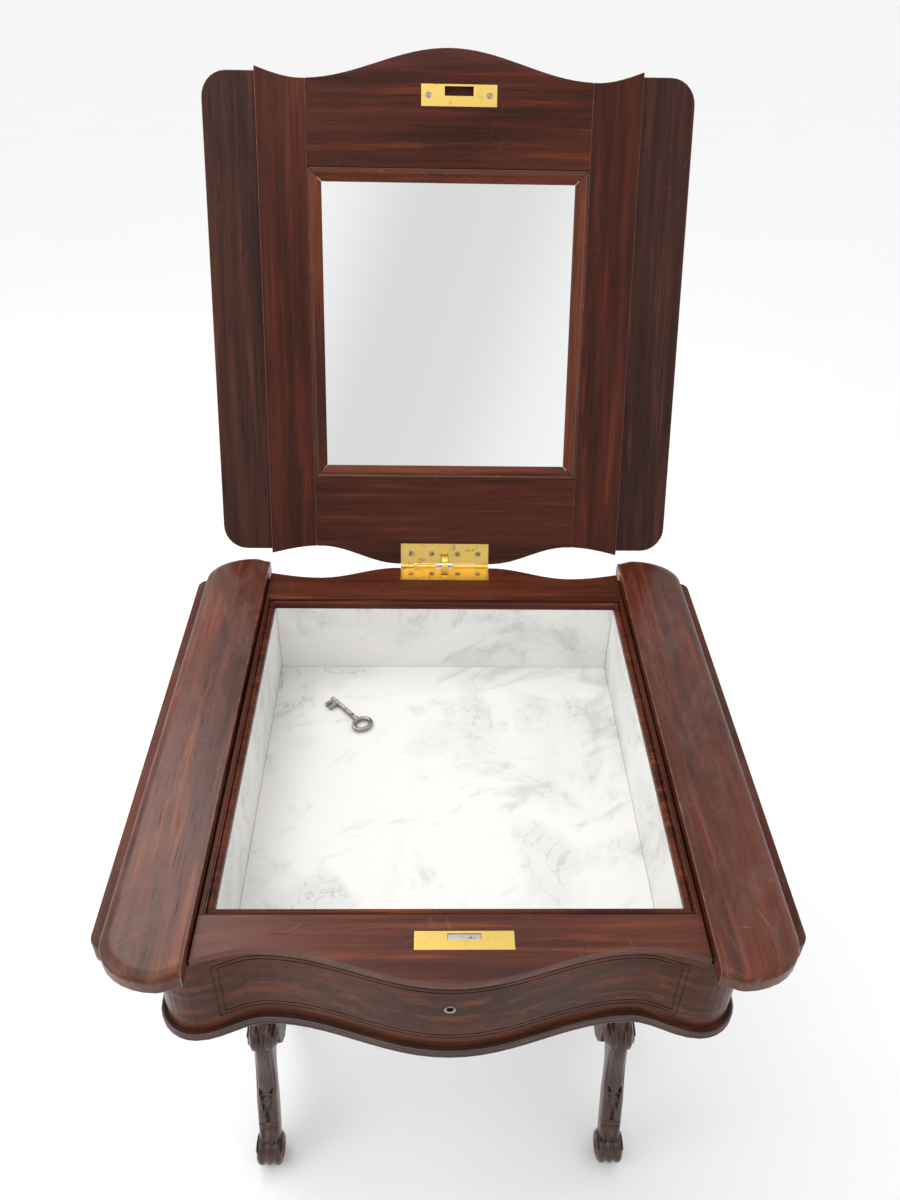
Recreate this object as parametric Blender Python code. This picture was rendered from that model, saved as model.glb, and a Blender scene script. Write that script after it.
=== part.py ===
"""Lift-top dressing table with a mirror inside the lid, a marble well and scroll legs.

Built in a working frame whose z = 0 is the flat frame round the well and whose y = 0 is the
front edge of the well. Everything hangs on one empty that stands the table on the floor.
"""

import math

import bmesh
import bpy
from mathutils import Matrix, Vector

# ---------------------------------------------------------------- driving dimensions, metres
GAP = 0.0003                # clearance between pieces that touch
FRAME_HEIGHT = 0.670        # flat frame above the floor
LID_OPEN = math.radians(111.4)

WELL_WIDTH = 0.400          # clear opening, side to side
WELL_DEPTH = 0.426          # clear opening, front to back
WELL_FALL = 0.098           # frame down to the marble floor
MARBLE_WALL = 0.011

WELL_BED = 0.016            # marble floor down to the underside of the base
CASE_SIDE_REACH = 0.050     # well edge to the outside of the case
CASE_SIDE_THICK = 0.020
CASE_SETBACK = 0.005        # case face behind the frame's edge
LOBE_RADIUS = 0.030         # rounded corner lobes of the case
BASE_THICK = 0.010
BASE_PROUD = 0.006          # reeded edge beyond the case
MARBLE_LET_IN = 0.005       # depth of the base's recess for the marble floor

FRAME_THICK = 0.008
FRAME_MARGIN = 0.0122       # frame outside the well, at each side
BEAD_WIDTH = 0.008
FRONT_CENTRE = 0.0727       # frame's front edge in front of the well, at three places
FRONT_DIP = 0.040
FRONT_CORNER = 0.0514
FRONT_DIP_INSET = 0.0512    # front dip, in from the frame's side edge
REAR_CENTRE = 0.0736        # frame's rear edge behind the well, at three places
REAR_DIP = 0.0515
REAR_CORNER = 0.0610
REAR_FLAT_MARGIN = 0.002    # straight stretch beyond each end of the hinge
REAR_DIP_INSET = 0.0602     # rear dip, in from the frame's side edge

SIDE_TOP_GAP = 0.0018       # frame's edge to the raised side top
SIDE_TOP_WIDTH = 0.072
SIDE_TOP_RISE = 0.0098      # side top above the frame
SIDE_TOP_FRONT = 0.076      # in front of the well
SIDE_TOP_REAR = 0.082       # behind the well
SIDE_TOP_CORNER = 0.040
SIDE_TOP_CROWN = 0.052      # where its ends reach furthest, in from its outer edge
SIDE_TOP_HOLLOW = 0.006     # its ends fall back by this at the inner edge
THUMB_WIDTH = 0.010         # thumb moulding, in from the outer edge
THUMB_DROP = 0.006

SLIDE_THICK = 0.012
SLIDE_PROUD = 0.013         # slide's lip beyond the side top
SLIDE_FRONT = 0.034         # in front of the well
SLIDE_REAR = 0.056          # behind the well
SLIDE_CORNER = 0.012
SLIDE_LIP = 0.011
SLIDE_LIP_DROP = 0.008

LID_FRAME_THICK = 0.0095
LID_TOP_THICK = 0.014
LID_EDGE_ROUND = 0.004
WING_REACH = 0.0598         # wing beyond the frame's side edge
WING_FRONT = 0.0485         # in front of the well
WING_REAR = 0.0575          # behind the well
WING_CORNER = 0.028
WING_STEP = 0.002           # slant between the panel's corner and the wing
MIRROR_SIDE_INSET = 0.043   # mirror moulding's outer edges, in from the well's edges
MIRROR_FRONT = 0.0483
MIRROR_REAR_INSET = 0.0327
MIRROR_MOULDING = 0.0145
MIRROR_REBATE = 0.0045      # glass edge hidden under the moulding
GLASS_THICK = 0.0035
FINGER_BEVEL = 0.022        # worn hollow under the lid's front edge
FINGER_BEVEL_DEEP = 0.006
FINGER_BEVEL_END = 0.007    # its ends, in from the mirror's outer edges

HINGE_WIDTH = 0.108
HINGE_LEAF = 0.0285
LEAF_THICK = 0.0020
BARREL_RADIUS = 0.0030
PIN_RADIUS = 0.0015
PIN_PLAY = 0.00015
END_KNUCKLE = 0.0170
KNUCKLE_PLAY = 0.0008
INNER_KNUCKLE_NEAR = 0.0100
FINGER_WIDTH = 0.0070       # the hinge's two curved stop fingers
FINGER_THICK = 0.0018
FINGER_RADIUS = 0.0140      # inner face of the case's finger
FINGER_PLAY = 0.0003
FINGER_LAP = math.radians(4.0)
HINGE_SCREW_END = 0.013     # outer screws, in from the leaf's ends
HINGE_SCREW_INNER = 0.016   # inner screws, from the middle
LEAF_KNUCKLE_PLAY = 0.0002  # leaf's edge to the other leaf's knuckle
FINGER_ROOT = math.radians(5)
FINGER_SIDE_PLAY = 0.0006
MORTICE_PLAY = 0.001
MORTICE_NEAR = 0.0065       # mortice's near side, from the hinge's axis

SCREW_HEAD = 0.0029
SCREW_HEAD_DEEP = 0.0016
SCREW_SHANK = 0.0012
SCREW_LENGTH = 0.0075
SCREW_SLOT = 0.0007

LOCK_LEFT = -0.031
LOCK_RIGHT = 0.052
LOCK_FRONT = 0.042          # lock plate's front edge, in front of the well
LOCK_BACK = 0.024
LOCK_PLATE_THICK = 0.0015
LOCK_CASE_MARGIN_X = 0.010
LOCK_CASE_DEPTH = 0.058
BOLT_LEFT = -0.0033
BOLT_RIGHT = 0.0243
BOLT_FRONT = 0.0322
BOLT_BACK = 0.0267
BOLT_LENGTH = 0.020
BOLT_THROW = 0.006
BOLT_SINK = 0.0006
STRIKER_FRONT = 0.0362      # striker plate's front edge, in front of the well
STRIKER_BACK = 0.0142
STRIKER_SLOT_MARGIN = 0.0020
STRIKER_SLOT_DEEP = 0.0075
STRIKER_SCREW_INSET = 0.008
KEYHOLE_OVERRUN = 0.001     # keyhole's bore runs on into the lock's mortice
KEYHOLE_X = -0.001
KEYHOLE_DROP = 0.046
KEYHOLE_RADIUS = 0.0031
KEYHOLE_RING = 0.0050
KEYHOLE_RING_DEEP = 0.006

PANEL_SIDE_INSET = 0.052    # incised panel on the front, in from the case's sides
PANEL_TOP = 0.018
PANEL_RISE = 0.024          # above the underside of the base
PANEL_LINE = 0.0012
PANEL_LINE_DEEP = 0.0010
PANEL_LINE_STEP = 0.0045

LEG_INSET = 0.0275          # middle of each end frame, in from the case's side
STANDARD_THICK = 0.028
BEARER_WIDTH = 0.030
BEARER_HEIGHT = 0.028
BEARER_INSET = 0.043        # bearer's ends, in from the well's edges
STANDARD_FOOT = 0.112       # underside of the standard above the floor
STANDARD_JOINT_HALF = 0.040
LEG_JOINT_LOW = 0.148
LEG_JOINT_HIGH = 0.236
LEG_THICK = 0.026
SCROLL_THICK = 0.034
KNEE_REACH = 0.070
KNEE_HEIGHT = 0.205
KNEE_RADIUS = 0.021
TOE_REACH = 0.117
TOE_HEIGHT = 0.0195
TOE_RADIUS = 0.021
STRETCHER_HEIGHT = 0.192
STRETCHER_RADIUS = 0.013

KEY_FROM_LEFT = 0.1045      # middle of the key's bow, from the well's left and rear edges
KEY_FROM_REAR = 0.106
KEY_TURN = math.radians(131.0)
KEY_LENGTH = 0.068
KEY_BOW_RADIUS = 0.0105
KEY_WIRE = 0.0032
KEY_SHANK = 0.0032
KEY_BOW_SQUASH = 0.82       # bow's length against its width
KEY_BOW_WIRE = 0.8          # bow's wire against the shank's lift
KEY_COLLARS = ((0.7, 0.0), (1.0, 0.003), (1.0, 0.005), (0.72, 0.006), (0.72, 0.009),
               (0.95, 0.010), (0.8, 0.013))    # shares of the shank, from the bow
KEY_BIT_LENGTH = 0.011
KEY_BIT_REACH = 0.0125
KEY_BIT_THICK = 0.0028
KEY_WARD = 0.002
BEAD_FILLET = 0.0012        # flat step round the well's bead
BEAD_SINK = 0.0050          # bead's springing below the frame
BEAD_ROUND = (0.0034, 0.0046)
MOULDING_STEPS = ((0.0003, 0.0), (0.0025, 0.0), (0.0034, 0.0008), (0.0050, 0.0002),
                  (0.0075, 0.0004), (0.0110, 0.0022))    # in from the edge, up from the face
MOULDING_TIP = 0.0012
THROUGH = 0.01              # how far a cutter runs past the face that it cuts

# ---------------------------------------------------------------- sizes that follow
WELL_HALF = WELL_WIDTH / 2
CASE_HEIGHT = WELL_FALL + WELL_BED
FRAME_HALF = WELL_HALF + FRAME_MARGIN
FRONT_DIP_X = FRAME_HALF - FRONT_DIP_INSET
REAR_FLAT_X = HINGE_WIDTH / 2 + REAR_FLAT_MARGIN
REAR_DIP_X = FRAME_HALF - REAR_DIP_INSET
CASE_HALF = WELL_HALF + CASE_SIDE_REACH
PANEL_HALF = CASE_HALF - PANEL_SIDE_INSET
PANEL_BOTTOM = CASE_HEIGHT - PANEL_RISE
LEG_X = CASE_HALF - LEG_INSET
LOBE_X = CASE_HALF - LOBE_RADIUS
MIDDLE_Y = WELL_DEPTH / 2
BEARER_HALF = MIDDLE_Y - BEARER_INSET
CASE_TOP = -FRAME_THICK - GAP
BASE_TOP = -CASE_HEIGHT + BASE_THICK
SLIDE_TOP = CASE_TOP - GAP
SLIDE_BOTTOM = SLIDE_TOP - SLIDE_THICK
SIDE_TOP_INNER = FRAME_HALF + SIDE_TOP_GAP
SIDE_TOP_OUTER = SIDE_TOP_INNER + SIDE_TOP_WIDTH
SIDE_TOP_CROWN_X = SIDE_TOP_OUTER - SIDE_TOP_CROWN
SLIDE_OUTER = SIDE_TOP_OUTER + SLIDE_PROUD
WING_OUTER = FRAME_HALF + WING_REACH
MIRROR_HALF = WELL_HALF - MIRROR_SIDE_INSET
MIRROR_REAR = WELL_DEPTH - MIRROR_REAR_INSET
FINGER_BEVEL_HALF = MIRROR_HALF - FINGER_BEVEL_END
INNER_KNUCKLE_FAR = HINGE_WIDTH / 2 - END_KNUCKLE - KNUCKLE_PLAY
HINGE_SCREW_OUTER = HINGE_WIDTH / 2 - HINGE_SCREW_END
HINGE_SCREWS_X = (-HINGE_SCREW_OUTER, -HINGE_SCREW_INNER, HINGE_SCREW_INNER, HINGE_SCREW_OUTER)
LID_UNDERSIDE = GAP
LID_FRAME_TOP = LID_UNDERSIDE + LID_FRAME_THICK
LID_TOP_UNDERSIDE = LID_FRAME_TOP + GAP
LID_TOP = LID_TOP_UNDERSIDE + LID_TOP_THICK
REAR_EDGE = WELL_DEPTH + REAR_CENTRE
HINGE_Y = REAR_EDGE + BARREL_RADIUS
HINGE_Z = GAP / 2
HINGE = Vector((0.0, HINGE_Y, HINGE_Z))
FINGER_STEP = FINGER_THICK + 2 * FINGER_PLAY
SIDES = {"left": -1, "right": 1}

FINISHES = {
    "mahogany_case": ((0.100, 0.032, 0.016), 0.34, 0.0),
    "mahogany_lid": ((0.072, 0.020, 0.012), 0.40, 0.0),
    "mahogany_top": ((0.140, 0.038, 0.020), 0.36, 0.0),
    "mahogany_moulding": ((0.190, 0.062, 0.028), 0.38, 0.0),
    "mahogany_legs": ((0.065, 0.022, 0.014), 0.36, 0.0),
    "marble": ((0.830, 0.820, 0.790), 0.30, 0.0),
    "mirror": ((0.900, 0.910, 0.910), 0.03, 1.0),
    "brass": ((0.680, 0.480, 0.110), 0.34, 1.0),
    "steel": ((0.150, 0.140, 0.130), 0.42, 1.0),
}


# ---------------------------------------------------------------- shaping helpers
def ease(share):
    """Half-cosine rise from 0 to 1."""
    return 0.5 - 0.5 * math.cos(math.pi * share)


def front_reach(x):
    """How far the frame's front edge stands in front of the well at x."""
    across = abs(x)
    if across <= FRONT_DIP_X:
        return FRONT_CENTRE + (FRONT_DIP - FRONT_CENTRE) * ease(across / FRONT_DIP_X)
    share = (across - FRONT_DIP_X) / (FRAME_HALF - FRONT_DIP_X)
    return FRONT_DIP + (FRONT_CORNER - FRONT_DIP) * (1 - math.cos(share * math.pi / 2))


def rear_reach(x):
    """How far the frame's rear edge stands behind the well at x."""
    across = abs(x)
    if across <= REAR_FLAT_X:
        return REAR_CENTRE
    if across <= REAR_DIP_X:
        share = (across - REAR_FLAT_X) / (REAR_DIP_X - REAR_FLAT_X)
        return REAR_CENTRE + (REAR_DIP - REAR_CENTRE) * ease(share)
    share = (across - REAR_DIP_X) / (FRAME_HALF - REAR_DIP_X)
    return REAR_DIP + (REAR_CORNER - REAR_DIP) * (1 - math.cos(share * math.pi / 2))


def spread(low, high, count):
    """Evenly spaced values from low to high."""
    return [low + (high - low) * step / count for step in range(count + 1)]


def arc(centre, radii, start, end, steps):
    """Points of an elliptical arc, angles in degrees."""
    turns = [math.radians(angle) for angle in spread(start, end, steps)]
    return [(centre[0] + radii[0] * math.cos(t), centre[1] + radii[1] * math.sin(t)) for t in turns]


def mirrored(points):
    """The outline's other half, so that the two together run round once."""
    return [(-x, y) for x, y in reversed(points)]


def grow(outline, distance):
    """Move a closed counter-clockwise outline outwards by a distance."""
    grown = []
    for index, point in enumerate(outline):
        here = Vector(point)
        before = here - Vector(outline[index - 1])
        after = Vector(outline[(index + 1) % len(outline)]) - here
        before.normalize()
        after.normalize()
        normal = Vector((before.y + after.y, -before.x - after.x)).normalized()
        lean = max(0.5, normal.dot(Vector((before.y, -before.x))))
        grown.append(tuple(here + normal * (distance / lean)))
    return grown


# ---------------------------------------------------------------- object helpers
def make_finish(name):
    """One Principled material for each finish."""
    if name in bpy.data.materials:
        return bpy.data.materials[name]
    colour, roughness, metallic = FINISHES[name]
    material = bpy.data.materials.new(name)
    material.use_nodes = True
    shader = material.node_tree.nodes["Principled BSDF"]
    shader.inputs["Base Color"].default_value = (*colour, 1.0)
    shader.inputs["Roughness"].default_value = roughness
    shader.inputs["Metallic"].default_value = metallic
    return material


def add_empty(name, parent=None, location=(0, 0, 0), turn=0.0):
    """A pivot that pieces hang on."""
    empty = bpy.data.objects.new(name, None)
    empty.parent = parent
    empty.location = location
    empty.rotation_euler.x = turn
    bpy.context.scene.collection.objects.link(empty)
    return empty


class Bench:
    """Where pieces are placed: a parent empty and the working-frame point that it stands on."""

    def __init__(self, pivot, origin=(0, 0, 0)):
        self.pivot = pivot
        self.origin = Vector(origin)

    def add(self, name, mesh_data, finish, smooth=False):
        """Make an object from a bmesh drawn in the working frame."""
        bmesh.ops.translate(mesh_data, verts=mesh_data.verts, vec=-self.origin)
        bmesh.ops.recalc_face_normals(mesh_data, faces=mesh_data.faces)
        mesh = bpy.data.meshes.new(name)
        mesh_data.to_mesh(mesh)
        mesh_data.free()
        if smooth:
            mesh.shade_smooth()
            mesh.set_sharp_from_angle(angle=math.radians(40))
        piece = bpy.data.objects.new(name, mesh)
        piece.parent = self.pivot
        bpy.context.scene.collection.objects.link(piece)
        if finish:
            own = make_finish(finish).copy()
            own.name = name + "_finish"
            mesh.materials.append(own)
        return piece

    def cut(self, piece, tool_data, operation="DIFFERENCE", solver="EXACT"):
        """Cut a bmesh out of a piece, or join it on."""
        number = len(piece.modifiers)
        tool = self.add(f"{piece.name}_tool_{number}", tool_data, None)
        tool.hide_render = True
        tool.display_type = "WIRE"
        step = piece.modifiers.new("shape_" + str(number), "BOOLEAN")
        step.operation = operation
        step.object = tool
        step.solver = solver


def loft(rings):
    """A closed solid through rings of equal point counts."""
    data = bmesh.new()
    rows = [[data.verts.new(point) for point in ring] for ring in rings]
    count = len(rows[0])
    for low, high in zip(rows, rows[1:]):
        for index in range(count):
            after = (index + 1) % count
            data.faces.new((low[index], low[after], high[after], high[index]))
    caps = [data.faces.new(rows[0][::-1]), data.faces.new(rows[-1])]
    for cap in caps:
        cap.normal_update()
    bmesh.ops.triangulate(data, faces=caps)
    return data


def plate(outline, low, high):
    """An outline in plan, from one height to another."""
    return loft([[(x, y, z) for x, y in outline] for z in (low, high)])


def side_plate(outline, low, high):
    """An outline in (y, z), from one x to another."""
    return loft([[(x, y, z) for y, z in outline] for x in (low, high)])


def block(x_span, y_span, z_span):
    """A rectangular block."""
    (left, right), (front, back) = x_span, y_span
    return plate([(left, front), (right, front), (right, back), (left, back)], *z_span)


def turned(profile, centre, axis="Z", sides=24):
    """A solid of revolution: (radius, distance along the axis), starting and ending on it."""
    turn = {"Z": Matrix(), "X": Matrix.Rotation(math.pi / 2, 4, "Y"),
            "Y": Matrix.Rotation(-math.pi / 2, 4, "X")}[axis]
    rings = []
    for radius, along in profile:
        angles = [2 * math.pi * step / sides for step in range(sides)]
        rings.append([turn @ Vector((radius * math.cos(a), radius * math.sin(a), along))
                      + Vector(centre) for a in angles])
    return loft(rings)


def merge(parts):
    """Several separate closed solids as one mesh."""
    whole = bmesh.new()
    for part in parts:
        mesh = bpy.data.meshes.new("part")
        part.to_mesh(mesh)
        part.free()
        whole.from_mesh(mesh)
        bpy.data.meshes.remove(mesh)
    return whole


def ring_sector(centre_y, centre_z, radii, start, end, steps=10):
    """A sector of a ring in (y, z), angles in radians from +y."""
    inner, outer = radii
    angles = spread(start, end, steps)
    near = [(centre_y + inner * math.cos(a), centre_z + inner * math.sin(a)) for a in angles]
    far = [(centre_y + outer * math.cos(a), centre_z + outer * math.sin(a)) for a in angles]
    return near + far[::-1]


def mitred(profile, opening, outwards):
    """Four mitred lengths round an opening, their profile going outwards (1) or inwards (-1)."""
    (left, right), (front, rear) = opening
    corners = {"front": ((left, front), (right, front)), "rear": ((right, rear), (left, rear)),
               "right": ((right, front), (right, rear)), "left": ((left, rear), (left, front))}
    lengths = {}
    for name, ends in corners.items():
        rings = []
        for x, y in ends:
            across = outwards * (1 if x == right else -1)
            along = outwards * (1 if y == rear else -1)
            rings.append([Vector((x + across * reach, y + along * reach, z)) for reach, z in profile])
        shrink = (rings[1][0] - rings[0][0]).normalized() * GAP
        rings = [[point + shrink for point in rings[0]], [point - shrink for point in rings[1]]]
        lengths[name] = loft(rings)
    return lengths


# ---------------------------------------------------------------- outlines in plan
def front_line(low, high, count, setback=0.0):
    """The frame's serpentine front edge between two places, as points in plan."""
    return [(x, -front_reach(x) + setback) for x in spread(low, high, count)]


def rear_line(low, high, count, setback=0.0):
    """The frame's rear edge between two places, as points in plan."""
    return [(x, WELL_DEPTH + rear_reach(x) - setback) for x in spread(low, high, count)]


def lobe_line(dip_x, dip_reach, lobe_reach, steps):
    """Reach of the case between a dip and the front of its corner lobe, outwards."""
    points = []
    for share in spread(0, 1, steps):
        x = dip_x + (LOBE_X - dip_x) * share
        points.append((x, dip_reach + (lobe_reach - dip_reach) * ease(share)))
    return points


def case_half_front():
    """The case's front outline from the middle to its right side."""
    waves = spread(0, FRONT_DIP_X, 12)
    middle = [(x, -front_reach(x) + CASE_SETBACK) for x in waves]
    dip = FRONT_DIP - CASE_SETBACK
    lobe = [(x, -reach) for x, reach in lobe_line(FRONT_DIP_X, dip, FRONT_CORNER, 6)]
    centre = (LOBE_X, -FRONT_CORNER + LOBE_RADIUS)
    corner = arc(centre, (LOBE_RADIUS, LOBE_RADIUS), -90, 0, 7)
    return middle + lobe[1:] + corner[1:]


def case_half_rear():
    """The case's rear outline from its right side to the middle."""
    waves = spread(0, REAR_DIP_X, 12)
    middle = [(x, WELL_DEPTH + rear_reach(x) - CASE_SETBACK) for x in waves]
    dip = REAR_DIP - CASE_SETBACK
    lobe = [(x, WELL_DEPTH + reach) for x, reach in lobe_line(REAR_DIP_X, dip, REAR_CORNER, 6)]
    centre = (LOBE_X, WELL_DEPTH + REAR_CORNER - LOBE_RADIUS)
    corner = arc(centre, (LOBE_RADIUS, LOBE_RADIUS), 90, 0, 7)
    return (middle + lobe[1:] + corner[1:])[::-1]


def case_outline():
    """The whole case in plan, counter-clockwise."""
    front = case_half_front()
    rear = case_half_rear()
    return mirrored(front[1:]) + front + rear + mirrored(rear[:-1])


def side_top_outline(side, shrink):
    """A raised side top in plan, drawn in by shrink on its moulded edges."""
    inner = SIDE_TOP_INNER
    outer = SIDE_TOP_OUTER - shrink
    radii = (outer - SIDE_TOP_CROWN_X, SIDE_TOP_CORNER)
    front_y = -SIDE_TOP_FRONT + SIDE_TOP_CORNER + shrink
    rear_y = WELL_DEPTH + SIDE_TOP_REAR - SIDE_TOP_CORNER - shrink
    front, rear = [], []
    for share in spread(0, 1, 4)[:-1]:
        x = inner + (SIDE_TOP_CROWN_X - inner) * share
        fall = SIDE_TOP_HOLLOW * (1 - ease(share))
        front.append((x, front_y - SIDE_TOP_CORNER + fall))
        rear.append((x, rear_y + SIDE_TOP_CORNER - fall))
    front += arc((SIDE_TOP_CROWN_X, front_y), radii, -90, 0, 8)
    corner = arc((SIDE_TOP_CROWN_X, rear_y), radii, 0, 90, 8)
    outline = front + corner + rear[::-1]
    return outline if side > 0 else mirrored(outline)


def slide_outline(side, inner, outer):
    """A side slide in plan, its outer corners rounded."""
    front = -SLIDE_FRONT + SLIDE_CORNER
    rear = WELL_DEPTH + SLIDE_REAR - SLIDE_CORNER
    radii = (min(SLIDE_CORNER, outer - inner - GAP), SLIDE_CORNER)
    outline = [(inner, front - SLIDE_CORNER)]
    outline += arc((outer - radii[0], front), radii, -90, 0, 5)
    outline += arc((outer - radii[0], rear), radii, 0, 90, 5)
    outline += [(inner, rear + SLIDE_CORNER)]
    return outline if side > 0 else mirrored(outline)


def lid_half_front():
    """The lid top's front outline, from the middle to its right-hand wing's side."""
    middle = [(x, -front_reach(x)) for x in spread(0, FRONT_DIP_X, 12)]
    middle += [(x, -front_reach(x)) for x in spread(FRONT_DIP_X, FRAME_HALF, 4)[1:]]
    centre = (WING_OUTER - WING_CORNER, -WING_FRONT + WING_CORNER)
    step = (FRAME_HALF + WING_STEP, -WING_FRONT)
    return middle + [step] + arc(centre, (WING_CORNER, WING_CORNER), -90, 0, 7)


def lid_half_rear():
    """The lid top's rear outline, from its right-hand wing's side to the middle."""
    rear = WELL_DEPTH + WING_REAR
    centre = (WING_OUTER - WING_CORNER, rear - WING_CORNER)
    corner = arc(centre, (WING_CORNER, WING_CORNER), 0, 90, 7)
    step = (FRAME_HALF + WING_STEP, rear)
    middle = [(x, WELL_DEPTH + rear_reach(x)) for x in spread(0, REAR_DIP_X, 12)]
    middle += [(x, WELL_DEPTH + rear_reach(x)) for x in spread(REAR_DIP_X, FRAME_HALF, 4)[1:]]
    return corner + [step] + middle[::-1]


# ---------------------------------------------------------------- case
def base_edge(height):
    """How far the base's two reeds stand out at a height from 0 to 1."""
    reed = abs(math.sin(2 * math.pi * height))
    return BASE_PROUD * (0.55 + 0.45 * reed)


def build_case(bench):
    """Aprons, sides, base and the frame round the well."""
    half_front = case_half_front()
    seam_front = -MARBLE_WALL - GAP
    seam_rear = WELL_DEPTH + MARBLE_WALL + GAP
    outline = mirrored(half_front[1:]) + half_front + [(CASE_HALF, seam_front), (-CASE_HALF, seam_front)]
    apron = bench.add("front_apron", plate(outline, BASE_TOP + GAP, CASE_TOP), "mahogany_case", True)
    half_rear = case_half_rear()
    outline = [(-CASE_HALF, seam_rear), (CASE_HALF, seam_rear)] + half_rear + mirrored(half_rear[:-1])
    rear = bench.add("rear_apron", plate(outline, BASE_TOP + GAP, CASE_TOP), "mahogany_case", True)

    for side in SIDES.values():
        x_span = sorted((side * FRAME_HALF, side * (CASE_HALF + THROUGH)))
        z_span = (SLIDE_BOTTOM - GAP, THROUGH)
        front_span = (-SLIDE_FRONT - GAP, 0.0)
        bench.cut(apron, block(x_span, front_span, z_span))
        rear_span = (WELL_DEPTH, WELL_DEPTH + SLIDE_REAR + GAP)
        bench.cut(rear, block(x_span, rear_span, z_span))
    cut_apron_front(bench, apron)
    cut_hinge_room(bench, rear)

    for name, side in SIDES.items():
        x_span = sorted((side * (CASE_HALF - CASE_SIDE_THICK), side * CASE_HALF))
        y_span = (seam_front + GAP, seam_rear - GAP)
        bench.add("side_panel_" + name, block(x_span, y_span, (BASE_TOP + GAP, SLIDE_BOTTOM - GAP)),
                  "mahogany_case")

    rings = []
    for share in spread(0, 1, 8):
        z = -CASE_HEIGHT + BASE_THICK * share
        rings.append([(x, y, z) for x, y in grow(case_outline(), base_edge(share))])
    base = bench.add("case_base", loft(rings), "mahogany_case", True)
    slab = WELL_HALF + MARBLE_WALL
    pocket = block((-slab - GAP, slab + GAP), (-MARBLE_WALL - GAP, WELL_DEPTH + MARBLE_WALL + GAP),
                   (BASE_TOP - MARBLE_LET_IN, 0.0))
    bench.cut(base, pocket)


def cut_apron_front(bench, apron):
    """Lock mortice, keyhole and the incised double-line panel."""
    left = LOCK_LEFT + LOCK_CASE_MARGIN_X - GAP
    right = LOCK_RIGHT - LOCK_CASE_MARGIN_X + GAP
    bench.cut(apron, block((left, right), (-LOCK_FRONT, -LOCK_BACK), (-LOCK_CASE_DEPTH - GAP, 0.0)))
    face = -front_reach(KEYHOLE_X) + CASE_SETBACK
    reach = -LOCK_FRONT + KEYHOLE_OVERRUN - face
    centre = (KEYHOLE_X, face, -KEYHOLE_DROP)
    bore = [(KEYHOLE_RING + GAP, -THROUGH), (KEYHOLE_RING + GAP, KEYHOLE_RING_DEEP),
            (KEYHOLE_RADIUS, KEYHOLE_RING_DEEP), (KEYHOLE_RADIUS, reach)]
    bench.cut(apron, turned(bore, centre, "Y"))
    across, upright = [], []
    for inset in (0.0, PANEL_LINE_STEP):
        half = PANEL_HALF - inset
        top, bottom = -PANEL_TOP - inset, -PANEL_BOTTOM + inset
        for z in (top, bottom):
            across.append(panel_groove(-half, half, z - PANEL_LINE / 2, z + PANEL_LINE / 2, 32))
        for side in SIDES.values():
            x = side * (half - PANEL_LINE / 2)
            upright.append(panel_groove(x - PANEL_LINE / 2, x + PANEL_LINE / 2, bottom, top, 1))
    bench.cut(apron, merge(across))
    bench.cut(apron, merge(upright))


def case_face(x):
    """The case's front face at x, inside the corner lobes."""
    across = abs(x)
    if across <= FRONT_DIP_X:
        return -front_reach(x) + CASE_SETBACK
    share = (across - FRONT_DIP_X) / (LOBE_X - FRONT_DIP_X)
    dip = FRONT_DIP - CASE_SETBACK
    return -(dip + (FRONT_CORNER - dip) * ease(share))


def panel_groove(left, right, low, high, steps):
    """A thin cutter that follows the front face."""
    rings = []
    for x in spread(left, right, steps):
        face = case_face(x)
        inner = face + PANEL_LINE_DEEP
        outer = face - THROUGH
        rings.append([(x, outer, low), (x, inner, low), (x, inner, high), (x, outer, high)])
    return loft(rings)


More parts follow.
